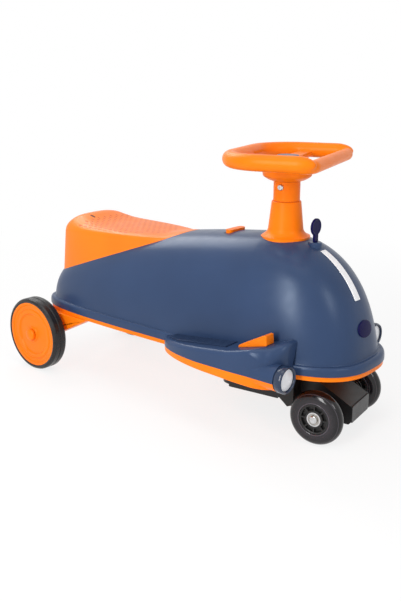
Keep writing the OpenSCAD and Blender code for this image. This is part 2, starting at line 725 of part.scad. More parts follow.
// Oval plate that lies on the nose, its back following the body.
module nose_pad(z, hy, hz, t) {
  pad_n = 40;
  steps = [0.12, 0.35, 0.6, 0.82, 0.95, 1];
  function edge(i, s) = let (a = -i * 360 / pad_n)
    [s * hy * sin(a), z + s * hz * cos(a)];
  function ring(s, o) = [for (i = [0 : pad_n - 1]) let (e = edge(i, s)) [nose_x(e[0], e[1]) + o, e[0], e[1]]];
  back = [for (s = steps) ring(s, trim_gap)];
  front = [for (k = [0 : 5]) ring(steps[5 - k], trim_gap + (k == 0 ? t * 0.6 : t))];
  skin(concat(back, front), [nose_x(0, z) + trim_gap, 0, z], [nose_x(0, z) + trim_gap + t, 0, z]);
}

// Light strip: a band down the middle of the nose, one section per step of height.
strip_n = 16;
function strip_ring(z) = let (w = strip_w / 2, o = trim_gap + trim_t)
  [[nose_x(w, z) + trim_gap, -w, z], [nose_x(0, z) + trim_gap, 0, z], [nose_x(w, z) + trim_gap, w, z],
   [nose_x(w, z) + o - 0.5, w, z], [nose_x(w, z) + o, w - 1, z], [nose_x(0, z) + o, 0, z],
   [nose_x(w, z) + o, 1 - w, z], [nose_x(w, z) + o - 0.5, -w, z]];
module light_strip() color(white) placed() {
  rings = [for (k = [0 : strip_n]) strip_ring(strip_z1 - (strip_z1 - strip_z0) * k / strip_n)];
  skin(rings, middle(rings[0]), middle(rings[strip_n]));
}

module front_badge() color(navy) placed() nose_pad(badge_z, badge_w / 2, badge_h / 2, trim_t);

switch_z = dome_z(key_x, 0) + switch_up;
module key_switch() color(navy) placed() difference() {
  bevel = 1.5;
  translate([key_x, 0, switch_z - switch_h]) rotate_extrude()
    polygon([[shank_r + run_fit, 0], [switch_r, 0], [switch_r, switch_h - bevel], [switch_r - bevel, switch_h],
      [shank_r + run_fit, switch_h]]);
  dome_solid();
}

module key() color(navy) placed() translate([key_x, 0, switch_z + 0.3]) {
  translate([-key_t / 2, -neck_w / 2, 0]) cube([key_t, neck_w, bow_up - bow_r + 2]);
  translate([-key_t / 2, 0, bow_up]) rotate([0, 90, 0]) rotate_extrude()
    polygon([[0, 0.6], [bow_r - 3, 0.6], [bow_r - 2, 0], [bow_r - 0.8, 0], [bow_r, 0.8], [bow_r, key_t - 0.8],
      [bow_r - 0.8, key_t], [bow_r - 2, key_t], [bow_r - 3, key_t - 0.6], [0, key_t - 0.6]]);
  translate([0, 0, -shank_len]) cylinder(r = shank_r, h = shank_len + 1);
}

module button_housing() color(black) placed() difference() {
  intersection() {
    button_slot(button_gap + house_t);
    skin(dome_rings(house_in), [-crown_back, 0, wall_z], [-crown_back, 0, crown_z - house_in]);
  }
  translate([0, 0, house_t]) button_slot(button_gap);
}

module push_button() color(orange) placed() {
  z0 = house_z0 + house_t + button_travel + 1;
  h = ridge_button + button_up - z0;
  translate([-button_back, 0, z0]) {
    translate([-button_w / 2, -button_l / 2 + button_w / 2, 0]) cube([button_w, button_l - button_w, h]);
    for (s = [-1, 1]) translate([0, s * (button_l - button_w) / 2, 0]) cylinder(d = button_w, h = h);
  }
}

module steering_collar() color(orange) placed() difference() {
  foot = crown_z - 18;
  top = crown_z - 3 + collar_foot_t;
  rotate_extrude() polygon(concat(
    [[collar_bore, foot], [collar_foot_r, foot], [collar_foot_r, top - collar_foot_t]],
    [for (k = [0 : 6]) let (a = 90 * k / 6)
      [collar_foot_r - (collar_foot_r - collar_low_r) * sin(a), top + 9 - 9 * cos(a) - collar_foot_t * (1 - sin(a))]],
    [[collar_top_r + 1, collar_z1 - 10], [collar_top_r, collar_z1 - 1], [collar_top_r - 1, collar_z1],
     [collar_bore, collar_z1]]));
  dome_solid();
}

module upper_bush() color(white) placed() difference() {
  translate([0, 0, collar_z1 - bush_len]) cylinder(r = collar_bore, h = bush_len);
  translate([0, 0, collar_z1 - bush_len - 1]) cylinder(r = shaft_r + run_fit, h = bush_len + 2);
}

module lower_bush() color(white) placed() difference() {
  union() {
    translate([0, 0, base_z - thrust_t]) cylinder(r = boss_r, h = thrust_t);
    translate([0, 0, base_z - eps]) cylinder(r = low_bush_r, h = lip_h + boss_h);
  }
  translate([0, 0, base_z - thrust_t - 1]) cylinder(r = shaft_r + run_fit, h = lip_h + boss_h + thrust_t + 2);
}

module sound_module() color(black) placed()
  translate([-button_back - module_l / 2, -module_w / 2, base_z + floor_t]) difference() {
    cube([module_l, module_w, module_h]);
    for (i = [-2 : 2], j = [-1 : 1])
      translate([module_l / 2 + i * 9, module_w / 2 + j * 9, module_h - 1.5]) cylinder(d = 5, h = 2);
  }

screw_back = steer_to_rear - bracket_len - screw_clear;
screw_step = (screw_back + screw_front) / (screw_rows - 1);
screw_list = [for (s = [-1, 1], k = [0 : screw_rows - 1])
  let (x = k * screw_step - screw_back) [x, s * (flange_half(x) - lip_in - screw_in)]];
module base_screws() color(steel) placed()
  for (p = screw_list) translate([p.x, p.y, base_z - screw_h]) difference() {
    cylinder(r = screw_r, h = screw_h);
    translate([-screw_r * 0.7, -0.5, -eps]) cube([screw_r * 1.4, 1, 0.8]);
    translate([-0.5, -screw_r * 0.7, -eps]) cube([1, screw_r * 1.4, 0.8]);
  }

bracket_y1 = rear_face - rear_w - 7;
module axle_bracket_shape() {
  low = rear_r - rear_axle_r - bracket_wall;
  translate([-steer_to_rear, bracket_y1, 0]) rotate([90, 0, 0]) linear_extrude(bracket_w) difference() {
    polygon([[-10, base_z], [bracket_len, base_z], [bracket_len - 4, base_z - 3], [8, low], [-6, low],
      [-14, low + 9], [-16, base_z - 12]]);
    translate([0, rear_r]) circle(r = rear_axle_r);
  }
}
module axle_bracket_right() color(orange) on_side(-1) axle_bracket_shape();
module axle_bracket_left() color(orange) on_side(1) axle_bracket_shape();

axle_end = rear_face + 2;
module rear_axle() color(steel) placed() translate([-steer_to_rear, 0, rear_r]) rotate([90, 0, 0])
  cylinder(r = rear_axle_r, h = 2 * axle_end, center = true);

module axle_cap_shape() {
  translate([-steer_to_rear, axle_end, rear_r]) rotate([-90, 0, 0]) rotate_extrude()
    polygon(concat([[0, 0], [rear_axle_r, 0], [rear_axle_r, side_gap - 2], [axle_cap_r, side_gap - 2], [axle_cap_r, 1]],
      [for (k = [1 : 6]) let (a = 90 * k / 6) [axle_cap_r * cos(a), 1 + 4 * sin(a)]]));
}
module axle_cap_right() color(orange) on_side(-1) axle_cap_shape();
module axle_cap_left() color(orange) on_side(1) axle_cap_shape();

// Rear wheel, drawn with its outer face on the car's left.
module rear_at() translate([-steer_to_rear, rear_face, rear_r]) rotate([90, 0, 0]) children();
module rear_tyre_shape() rear_at() rotate_extrude($fn = 128)
  polygon([[disc_r, 1], [rear_r - 5, 0], [rear_r - 1.5, 2], [rear_r, 5], [rear_r, rear_w / 2 - 1.5],
    [rear_r - 1, rear_w / 2], [rear_r, rear_w / 2 + 1.5], [rear_r, rear_w - 5], [rear_r - 1.5, rear_w - 2],
    [rear_r - 5, rear_w], [disc_r, rear_w - 1]]);
module rear_disc_shape() rear_at() rotate_extrude($fn = 128)
  polygon([[rear_axle_r + run_fit, 1.5], [rear_boss_r - 2, 1.5], [rear_boss_r, dish - 1], [disc_r * 0.62, dish],
    [disc_r * 0.66, dish - 2.5], [disc_r * 0.76, dish - 2.5], [disc_r * 0.8, dish - 1], [disc_r - 6, dish - 2], [disc_r - 4.5, 0.8],
    [disc_r, 1], [disc_r, rear_w - 1], [disc_r - 4, rear_w - 1], [disc_r - 4.5, dish + disc_t],
    [rear_boss_r, dish + disc_t], [rear_boss_r, rear_w + 6], [rear_axle_r + run_fit, rear_w + 6]]);
module rear_tyre_right() color(black) on_side(-1) rear_tyre_shape();
module rear_tyre_left() color(black) on_side(1) rear_tyre_shape();
module rear_disc_right() color(orange) on_side(-1) rear_disc_shape();
module rear_disc_left() color(orange) on_side(1) rear_disc_shape();

// Steering wheel: a tube bent to a rounded outline, flat across the front.
function corner(c, r, a0, k) = let (a = a0 + 90 * k / ring_arc) [c.x + r * cos(a), c.y + r * sin(a)];
ring_arc = 10;
ring_path = concat(
  [for (k = [0 : ring_arc]) corner([ring_front - ring_r1, ring_half - ring_r1], ring_r1, 0, k)],
  [for (k = [0 : ring_arc]) corner([ring_r2 - ring_back, ring_half - ring_r2], ring_r2, 90, k)],
  [for (k = [0 : ring_arc]) corner([ring_r2 - ring_back, ring_r2 - ring_half], ring_r2, 180, k)],
  [for (k = [0 : ring_arc]) corner([ring_front - ring_r1, ring_r1 - ring_half], ring_r1, 270, k)]);
tube_n = 16;

// Share of the front bar's thinner, lower section, growing round the front corners.
function bar_share(x) = let (q = max(0, min(1, (x - ring_front + ring_r1) / ring_r1))) q * q * (3 - 2 * q);

module ring_tube_solid() {
  m = len(ring_path);
  pts = [for (k = [0 : m - 1])
    let (p = ring_path[k], q = ring_path[(k + 1) % m] - ring_path[(k + m - 1) % m], l = norm(q), nx = q.y / l, ny = -q.x / l)
    let (s = bar_share(p.x), t = grip_r + (bar_r - grip_r) * s)
    each [for (j = [0 : tube_n - 1]) let (a = 360 * j / tube_n, r = t * cos(a))
      [p.x + nx * r, p.y + ny * r, ring_z - bar_drop * s + t * sin(a)]]];
  polyhedron(points = pts, faces = [for (k = [0 : m - 1], j = [0 : tube_n - 1])
    let (a = k * tube_n + j, b = k * tube_n + (j + 1) % tube_n, c = ((k + 1) % m) * tube_n + j,
      d = ((k + 1) % m) * tube_n + (j + 1) % tube_n)
    each [[a, b, c], [b, d, c]]], convexity = 6);
}

hub_top = ring_z - 1;
module steering_wheel() color(orange) steered() rotate([0, 0, ring_turn]) {
  difference() {
    union() {
      ring_tube_solid();
      rotate_extrude() polygon([[0, stem_z1], [stem_r, stem_z1], [hub_r - 9, stem_z1 + 3], [hub_r - 1, stem_z1 + 8],
        [hub_r, stem_z1 + 16], [hub_r - 3, hub_top - 9], [cap_r + 4, hub_top], [0, hub_top]]);
      for (a = [90, 180, 270]) rotate([0, 0, a])
        translate([hub_r - 14, -spoke_w / 2, hub_top - spoke_t])
          cube([(a == 180 ? ring_back : ring_half) - hub_r + 14, spoke_w, spoke_t]);
    }
    translate([0, 0, stem_z1 - 1]) cylinder(r = shaft_r + run_fit, h = shaft_z1 - stem_z1 + 1.3);
  }
}

module hub_cap() color(navy) steered() translate([0, 0, hub_top]) rotate_extrude()
  polygon([[0, 0], [cap_r, 0], [cap_r, cap_t - 1.2], [cap_r - 1.2, cap_t - 0.3], [cap_r * 0.5, cap_t], [0, cap_t]]);

module cross_hole(z, r) translate([0, 0, z]) rotate([90, 0, 0]) cylinder(r = r, h = 200, center = true);

module stem() color(orange) steered() difference() {
  translate([0, 0, collar_z1 + side_gap]) cylinder(r = stem_r, h = stem_z1 - collar_z1 - side_gap);
  translate([0, 0, collar_z1]) cylinder(r = shaft_r + run_fit, h = stem_z1);
  cross_hole(bolt_z, bolt_r);
}

module stem_bolt() color(steel) steered() translate([0, 0, bolt_z]) rotate([90, 0, 0]) {
  translate([0, 0, -stem_r - 6]) cylinder(r = bolt_r, h = 2 * stem_r + 6);
  translate([0, 0, stem_r]) difference() {
    rotate_extrude() polygon([[0, 0], [bolt_head_r, 0], [bolt_head_r, 1.6], [bolt_head_r - 1.2, 2.8], [0, 3]]);
    translate([0, 0, 1.4]) cylinder(r = bolt_head_r * 0.42, h = 3, $fn = 6);
  }
}

module stem_nut() color(steel) steered() translate([0, stem_r, bolt_z]) rotate([-90, 0, 0]) difference() {
  cylinder(r = bolt_head_r + 1, h = 4, $fn = 6);
  translate([0, 0, -1]) cylinder(r = bolt_r, h = 6);
}

module steering_shaft() color(steel) steered() difference() {
  translate([0, 0, shaft_z0]) cylinder(r = shaft_r, h = shaft_z1 - shaft_z0);
  translate([0, 0, shaft_z0 - 1]) cylinder(r = shaft_r - shaft_t, h = shaft_z1 - shaft_z0 + 2);
  cross_hole(bolt_z, bolt_r);
  cross_hole(pin_z, bolt_r);
}

washer_z0 = base_z - thrust_t - 0.3 - thrust_t;
module thrust_washer() color(steel) steered() difference() {
  translate([0, 0, washer_z0]) cylinder(r = boss_r, h = thrust_t);
  translate([0, 0, washer_z0 - 1]) cylinder(r = shaft_r + run_fit, h = thrust_t + 2);
}

module yoke_block() translate([0, block_half, 0]) rotate([90, 0, 0]) linear_extrude(2 * block_half)
  let (front = block_x - cover_t, step = (block_x2 - block_x0) / 3, chamfer = 3)
  polygon([[block_x0, yoke_z1], [block_x1, yoke_z1], [front, block_edge], [front, block_z0 + chamfer],
    [front - chamfer, block_z0], [block_x2, block_z0], [block_x2 - step, (block_z0 + tail_z0) / 2],
    [block_x0 + step, tail_z0], [block_x0, tail_z0]]);

module tail_outline(half) {
  for (s = [-1, 1]) translate([-tail_len + tail_r, s * (half - tail_r)]) circle(r = tail_r);
  translate([-tail_len + tail_r, -half]) square([tail_len - tail_r + 30, 2 * half]);
  translate([-tail_len, -half + tail_r]) square([tail_len, 2 * (half - tail_r)]);
}

module yoke() color(black) steered() difference() {
  union() {
    translate([0, 0, tail_z0]) linear_extrude(yoke_z1 - tail_z0) tail_outline(tail_half);
    translate([0, 0, tail_z0 - keel_h]) linear_extrude(keel_h + 1) intersection() {
      tail_outline(tail_half - 6);
      translate([-tail_len + 16, -tail_half]) square([tail_len, 2 * tail_half]);
    }
    cylinder_boss();
    yoke_block();
    translate([18, beam_half, 0]) rotate([90, 0, 0]) linear_extrude(2 * beam_half)
      polygon([[0, yoke_z1 - 4], [26, yoke_z1 - 4], [34, yoke_z1 - 18], [34, tail_z0 - 4],
        [24, tail_z0 - 8], [10, tail_z0 + 4], [0, tail_z0 + 12]]);
  }
  translate([0, 0, shaft_z0]) cylinder(r = shaft_r, h = 200);
  cross_hole(pin_z, bolt_r);
  translate([front_trail, 0, front_r]) rotate([90, 0, 0]) cylinder(r = axle_r, h = 200, center = true);
}
module cylinder_boss() translate([0, 0, tail_z0]) cylinder(r = boss_r + 4, h = washer_z0 - tail_z0);

module yoke_cover() color(black) steered() translate([block_x - cover_t, 0, 0]) rotate([90, 0, 90])
  linear_extrude(cover_t) polygon([[-block_half + 2, block_z0 + 3], [block_half - 2, block_z0 + 3],
    [block_half, block_z0 + 6], [block_half, block_edge - 2], [block_half - 2, block_edge],
    [-block_half + 2, block_edge], [-block_half, block_edge - 2], [-block_half, block_z0 + 6]]);

module yoke_pin() color(steel) steered() translate([0, 0, pin_z]) rotate([90, 0, 0])
  cylinder(r = bolt_r, h = 2 * tail_half, center = true);

wheel_in = front_y - front_w / 2;
wheel_out = front_y + front_w / 2;
module front_axle() color(steel) steered() translate([front_trail, 0, front_r]) rotate([90, 0, 0]) {
  cylinder(r = axle_r, h = 2 * (wheel_out + 1), center = true);
  for (s = [0, 1]) mirror([0, 0, s]) translate([0, 0, wheel_out - 1 + side_gap]) rotate_extrude()
    polygon([[axle_r, 0], [axle_r + 2.2, 0], [axle_r + 2.2, 1], [axle_r + 1, 2], [0, 2], [0, 1], [axle_r, 1]]);
}

module front_at() translate([front_trail, 0, front_r]) rotate([-90, 0, 0]) children();
module axle_spacer_shape() front_at() difference() {
  translate([0, 0, block_half]) cylinder(r = axle_r + 4.5, h = wheel_in + 1.5 - side_gap - block_half);
  cylinder(r = axle_r, h = 200);
}
module steered_side(s) steered() mirror([0, s < 0 ? 1 : 0, 0]) children();
module axle_spacer_right() color(black) steered_side(-1) axle_spacer_shape();
module axle_spacer_left() color(black) steered_side(1) axle_spacer_shape();

// Front wheel: clear tyre cast round a core that holds two ball bearings.
module front_tyre_shape() front_at() translate([0, 0, wheel_in]) rotate_extrude($fn = 96)
  polygon(concat([[core_r, 2], [core_r + 4, 0.6]],
    [for (k = [0 : 12]) let (a = -90 + 180 * k / 12)
      [front_r - front_w / 2 + front_w / 2 * cos(a), front_w / 2 + front_w / 2 * sin(a)]],
    [[core_r + 4, front_w - 0.6], [core_r, front_w - 2]]));
module front_core_shape() front_at() translate([0, 0, wheel_in]) difference() {
  rotate_extrude($fn = 96) polygon([[bearing_r, 1.5], [bearing_r + 3, 1.5], [bearing_r + 3.5, 5], [core_r - 4, 5], [core_r - 3, 2],
    [core_r, 2], [core_r, front_w - 2], [core_r - 3, front_w - 2], [core_r - 4, front_w - 5], [bearing_r + 3.5, front_w - 5],
    [bearing_r + 3, front_w - 1.5], [bearing_r, front_w - 1.5], [bearing_r, front_w - 1.5 - bearing_w],
    [bearing_r - 2, front_w - 1.5 - bearing_w], [bearing_r - 2, 1.5 + bearing_w], [bearing_r, 1.5 + bearing_w]]);
  for (k = [0 : window_n - 1]) rotate([0, 0, k * 360 / window_n])
    translate([(bearing_r + core_r) / 2, 0, -1]) cylinder(r = (core_r - bearing_r) * 0.24, h = front_w + 2);
}
module bearing_shape(z) front_at() translate([0, 0, wheel_in + z]) rotate_extrude()
  polygon([[axle_r + run_fit, 0], [axle_r + 2.2, 0], [axle_r + 2.5, 0.5], [bearing_r - 2.2, 0.5], [bearing_r - 1.9, 0],
    [bearing_r, 0], [bearing_r, bearing_w], [bearing_r - 1.9, bearing_w], [bearing_r - 2.2, bearing_w - 0.5],
    [axle_r + 2.5, bearing_w - 0.5], [axle_r + 2.2, bearing_w], [axle_r + run_fit, bearing_w]]);
module bearing_tube_shape() front_at() difference() {
  translate([0, 0, wheel_in + 1.5 + bearing_w]) cylinder(r = axle_r + 2, h = front_w - 3 - 2 * bearing_w);
  cylinder(r = axle_r + run_fit, h = 200);
}
bearing_in = 1.5;
bearing_out = front_w - 1.5 - bearing_w;
module front_tyre_right() color(black) steered_side(-1) front_tyre_shape();
module front_tyre_left() color(black) steered_side(1) front_tyre_shape();
module front_core_right() color(black) steered_side(-1) front_core_shape();
module front_core_left() color(black) steered_side(1) front_core_shape();
module bearing_outer_right() color(steel) steered_side(-1) bearing_shape(bearing_out);
module bearing_outer_left() color(steel) steered_side(1) bearing_shape(bearing_out);
module bearing_inner_right() color(steel) steered_side(-1) bearing_shape(bearing_in);
module bearing_inner_left() color(steel) steered_side(1) bearing_shape(bearing_in);
module bearing_tube_right() color(steel) steered_side(-1) bearing_tube_shape();
module bearing_tube_left() color(steel) steered_side(1) bearing_tube_shape();

body_shell();
base_tray();
seat();
footrest_right();
footrest_left();
foot_mat_right();
foot_mat_left();
footrest_base_right();
footrest_base_left();
toe_wedge_right();
toe_wedge_left();
lamp_bezel_right();
lamp_bezel_left();
lamp_lens_right();
lamp_lens_left();
light_strip();
front_badge();
key_switch();
button_housing();
steering_collar();
upper_bush();
lower_bush();
sound_module();
base_screws();
axle_bracket_right();
axle_bracket_left();
rear_axle();
axle_cap_right();
axle_cap_left();
steering_wheel();
hub_cap();
stem();
stem_bolt();
stem_nut();
steering_shaft();
yoke();
yoke_cover();
yoke_pin();
thrust_washer();
front_axle();
axle_spacer_right();
axle_spacer_left();
front_tyre_right();
front_core_right();
bearing_outer_right();
bearing_inner_right();
bearing_tube_right();
front_tyre_left();
front_core_left();
bearing_outer_left();
bearing_inner_left();
bearing_tube_left();
rear_tyre_right();
rear_disc_right();
rear_tyre_left();
rear_disc_left();
key();
push_button();
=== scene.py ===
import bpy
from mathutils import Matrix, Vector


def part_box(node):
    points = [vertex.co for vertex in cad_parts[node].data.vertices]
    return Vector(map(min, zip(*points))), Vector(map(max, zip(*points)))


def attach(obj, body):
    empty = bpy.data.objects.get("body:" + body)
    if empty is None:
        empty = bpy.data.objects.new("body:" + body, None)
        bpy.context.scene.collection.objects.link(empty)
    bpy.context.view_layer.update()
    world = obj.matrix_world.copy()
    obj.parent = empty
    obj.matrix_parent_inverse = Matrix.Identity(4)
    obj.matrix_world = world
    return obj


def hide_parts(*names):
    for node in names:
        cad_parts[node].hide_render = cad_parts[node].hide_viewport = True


bl_info = {
    "name": "Wiggle car looks",
    "version": (1, 0, 0),
    "blender": (4, 5, 0),
    "location": "View3D > Sidebar > Wiggle car",
    "description": "Builds the skins, finishes and studio of a wiggle car round its CAD frame",
    "category": "Object",
}

import math

import bmesh
import bpy
import numpy as np
from mathutils import Matrix, Vector

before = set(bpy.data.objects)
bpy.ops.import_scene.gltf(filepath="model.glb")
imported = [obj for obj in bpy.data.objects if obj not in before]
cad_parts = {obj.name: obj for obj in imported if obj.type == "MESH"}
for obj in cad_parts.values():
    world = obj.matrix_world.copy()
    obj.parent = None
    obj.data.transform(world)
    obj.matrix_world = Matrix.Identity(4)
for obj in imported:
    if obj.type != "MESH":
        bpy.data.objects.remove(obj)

SIDES = (("right", -1.0), ("left", 1.0))


def words(text):
    """A property's name, which ends at the first comma of its description, and the description."""
    return {"name": text.split(",")[0], "description": text}


def length(default, text):
    return bpy.props.FloatProperty(default=default, unit="LENGTH", precision=4, **words(text))


def number(default, text):
    return bpy.props.FloatProperty(default=default, precision=3, **words(text))


def count(default, text):
    return bpy.props.IntProperty(default=default, min=1, **words(text))


def colour(default, text):
    return bpy.props.FloatVectorProperty(
        default=default, size=3, subtype="COLOR", min=0.0, max=1.0, **words(text)
    )


class BodySizes(bpy.types.PropertyGroup):
    """Sizes of the body's dome, measured from the steering axis"""

    steer_x: length(0.184, "Steering axis, its place along the car")
    seam_z: length(0.1155, "Seam height, between cover and base")
    wall_z: length(0.130, "Wall foot, height at which the wall rises from the flange")
    crown_h: length(0.167, "Crown height, above the wall's foot")
    crown_back: length(0.020, "Crown back, its distance behind the steering axis")
    front: length(0.172, "Front length, of the dome ahead of its crown")
    rear: length(0.464, "Rear length, of the dome behind its crown")
    half: length(0.102, "Half width, of the dome")
    flange_front: length(0.011, "Flange front, its reach at the nose")
    flange_rear: length(0.010, "Flange rear, its reach at the tail")
    flange_side: length(0.005, "Flange side, its reach at the sides")
    wall: length(0.003, "Wall, thickness of the cover")
    lean_front: number(0.12, "Lean front, of the nose")
    lean_rear: number(0.045, "Lean rear, of the tail")
    lean_side: number(0.05, "Lean side, of the sides")
    fall: number(0.285, "Ridge fall, share of its height that it loses toward the tail")
    dome_m: number(2.5, "Dome roundness, of its section")
    tail_m: number(3.0, "Tail roundness, of its section")
    nose_n: number(2.75, "Nose outline, its squareness seen from above")
    nose_top_n: number(2.4, "Nose top outline, its squareness near the crown")
    tail_n: number(5.5, "Tail outline, its squareness seen from above")
    tail_top_n: number(3.0, "Tail top outline, its squareness near the crown")
    column_hole: length(0.0185, "Column hole, radius of the opening for the column")
    key_x: length(0.054, "Key place, ahead of the steering axis")
    key_hole: length(0.0034, "Key hole, radius of the opening for the key")
    slot_x: length(-0.097, "Slot place, of the push button's opening")
    slot_l: length(0.0432, "Slot length, of the push button's opening")
    slot_w: length(0.0142, "Slot width, of the push button's opening")


class SeatSizes(bpy.types.PropertyGroup):
    """Sizes of the seat, measured from the steering axis"""

    tip_x: length(-0.172, "Tip, place toward which the front is rounded off")
    mid_x: length(-0.330, "Middle, its place along the car")
    wall_x: length(-0.484, "Rear wall, its place on the body")
    joint_z: length(0.1682, "Joint height, carried on to the rear wall")
    lift_h: length(0.010, "Lift, of the lower edge at the rear end")
    lift_x: length(-0.446, "Lift place, where the lower edge starts to lift")
    lift_len: length(0.022, "Lift length, over which the lower edge lifts")
    rim_z: length(0.262, "Rim height, at the back")
    rim_rise: number(0.02, "Rim rise, toward the front")
    saddle_z: length(0.2705, "Saddle height, above the floor")
    bump_h: length(0.026, "Bump height, above the saddle at the back")
    bump_side: length(0.115, "Bump half width, at which it would end")
    bump_x: length(-0.455, "Bump place, along the car")
    bump_half: length(0.046, "Bump half length, along the car")
    draft: number(5.0, "Draft, lean of the seat's wall in degrees")
    roundness: number(7.0, "Roundness, how quickly the top rounds over to the rim")
    front_x: length(-0.228, "Field front, end of the field of grooves")
    rear_x: length(-0.402, "Field rear, end of the field of grooves")
    field_half: length(0.066, "Field half width, of the field of grooves")
    slit_x: length(-0.411, "Slit place, in the bump")
    slit_y: length(0.024, "Slit side, its distance to the right of the middle")
    skin: length(0.0018, "Skin, its height over the body near the tip")


class RestSizes(bpy.types.PropertyGroup):
    """Sizes of the foot rests, measured from the steering axis"""

    tail: length(-0.150, "Tail, place of the rear end")
    front: length(0.086, "Front, place of the front end")
    swell: length(0.112, "Swell, length over which the rest swells out")
    turn: length(0.042, "Turn, place at which the outside turns in")
    bend: number(2.2, "Bend, roundness of the front seen from above")
    gap: length(0.0005, "Gap, between the rest and the flange")
    out: length(0.043, "Reach, beyond the flange")
    z_tail: length(0.127, "Tail height, of the top")
    z_mid: length(0.145, "Middle height, of the top at the steering axis")
    z_front: length(0.167, "Front height, which the top climbs toward")
    edge: length(0.007, "Edge radius, along the top edge")
    nose_edge: length(0.024, "Nose edge radius, of the top edge at the front end")
    nose_round: length(0.009, "Nose radius, of the top over the front end")
    base_rear: length(0.008, "Base rear, its depth at the tail")
    base_front: length(0.0175, "Base front, its depth at the front")
    lamp_x: length(0.099, "Lamp face, place of the headlamp's face")
    lamp_y: length(0.129, "Lamp side, distance of the headlamp from the middle")
    lamp_z: length(0.1185, "Lamp height, of the headlamp's axis")
    lamp_len: length(0.049, "Lamp length, of the headlamp's housing")
    bezel_r: length(0.020, "Bezel radius, of the headlamp's housing")
    rim_d: length(0.0130, "Rim depth, of the headlamp's rounded rim")
    glass_r: length(0.0163, "Glass radius, of the headlamp")
    fairing_r: length(0.0198, "Fairing radius, of the round that leads on to the headlamp")


class WheelSizes(bpy.types.PropertyGroup):
    """Sizes of the front wheels"""

    radius: length(0.0423, "Radius, of the tyre")
    width: length(0.024, "Width, of the tyre")
    core: length(0.0234, "Core radius, inside the tyre")
    bore: length(0.011, "Bore, radius of the bearing's seat")
    pockets: count(8, "Pockets, their number in each face of the core")
    web: length(0.0022, "Web, thickness of the walls between the pockets")
    trail: length(0.099, "Reach, of the front axle ahead of the steering axis")
    rest_turn: number(7.0, "Rest turn, of the wheels in the photograph in degrees")


class RingSizes(bpy.types.PropertyGroup):
    """Sizes of the steering wheel, measured from its own axis"""

    z: length(0.4145, "Height, of the ring's tube")
    grip: length(0.012, "Grip radius, of the ring's tube at its sides and back")
    bar: length(0.0094, "Bar radius, of the ring's tube across the front")
    bar_drop: length(0.0036, "Bar drop, below the ring's middle")
    front: length(0.0670, "Front, reach of the ring ahead of the axis")
    back: length(0.070, "Back, reach of the ring behind the axis")
    half: length(0.108, "Half width, of the ring")
    r_front: length(0.016, "Front corner, its radius")
    cap_x: length(0.0740, "Grip end, place of the tip of the grips' round ends")
    cap_len: length(0.028, "Grip end length, of the grips' round ends")
    grip_len: length(0.060, "Grip length, up to its tip")
    r_back: length(0.062, "Back corner, its radius")
    hub_r: length(0.038, "Hub radius, of its bowl")
    hub_z0: length(0.377, "Hub foot, its height")
    hub_z1: length(0.4135, "Hub top, its height")
    stem_r: length(0.0203, "Stem radius, below the hub")
    cap_r: length(0.017, "Cap radius, on the hub")
    spoke_w: length(0.026, "Spoke width, at the hub")
    spoke_end: number(0.7, "Spoke end, share of its width that a spoke has at the ring")
    spoke_t: length(0.009, "Spoke thickness, of all three")
    rest_turn: number(16.5, "Rest turn, of the ring in the photograph in degrees")
    cell: length(0.0016, "Cell, its size where spokes blend into hub and ring")


class Finishes(bpy.types.PropertyGroup):
    """Colours of the car's materials"""

    navy: colour((0.027, 0.051, 0.118), "Navy, cover and foot rests")
    orange: colour((1.0, 0.205, 0.004), "Orange, seat and base and steering wheel")
    black: colour((0.012, 0.0115, 0.012), "Black, yoke and hubs and housings")
    rubber: colour((0.012, 0.012, 0.013), "Rubber, rear tyres")
    smoke: colour((0.020, 0.017, 0.021), "Smoke, front tyres")
    steel: colour((0.62, 0.62, 0.63), "Steel, axles and bearings and screws")
    milk: colour((0.80, 0.82, 0.86), "Milk, headlamp lenses")
    strip: colour((0.95, 0.95, 0.97), "White, strip on the nose")
    badge: colour((0.005, 0.004, 0.055), "Badge, and key")
    bush: colour((0.72, 0.72, 0.70), "Bush, plain bearings")


class StageSizes(bpy.types.PropertyGroup):
    """The studio round the car"""

    azimuth: number(40.12, "Azimuth, of the camera round the car in degrees")
    elevation: number(16.26, "Elevation, of the camera above the floor in degrees")
    distance: length(1.23573, "Distance, from the camera to its aim")
    shift_right: length(-0.13087, "Aim right, of the steering axis")
    aim_z: length(0.18882, "Aim height, above the floor")
    lens: number(46.9, "Lens, focal length in millimetres on a 36 mm frame")
    key_power: number(23.0, "Key power, of the tall light beside the car")
    rear_power: number(12.0, "Rear power, of the wide light behind the car")
    nose_power: number(4.5, "Nose power, of the light ahead of the car")
    top_power: number(6.0, "Top power, of the overhead light")
    sky: number(0.42, "Sky, strength of the even light all round")
    floor: colour((0.95, 0.95, 0.95), "Floor, its colour")
    glow: number(0.8, "Glow, share of plain white in the floor as the camera sees it")


GROUPS = {
    "car_body": BodySizes,
    "car_seat": SeatSizes,
    "car_rest": RestSizes,
    "car_wheel": WheelSizes,
    "car_ring": RingSizes,
    "car_finish": Finishes,
    "car_stage": StageSizes,
}


# ---- shapes

TINY = 1e-9
BISECTIONS = 26


def signed_pow(v, e):
    return np.sign(v) * np.abs(v) ** e


def full_turn(n):
    """Angles of n points once round."""
    return np.linspace(0, 2 * np.pi, n, endpoint=False)


def quarter(n):
    """Angles of n points over a quarter turn."""
    return np.linspace(0, np.pi / 2, n)


def bisect(low, high, below):
    """The place between two arrays where below(place) stops being true."""
    for _ in range(BISECTIONS):
        mid = (low + high) / 2
        under = below(mid)
        low, high = np.where(under, mid, low), np.where(under, high, mid)
    return (low + high) / 2


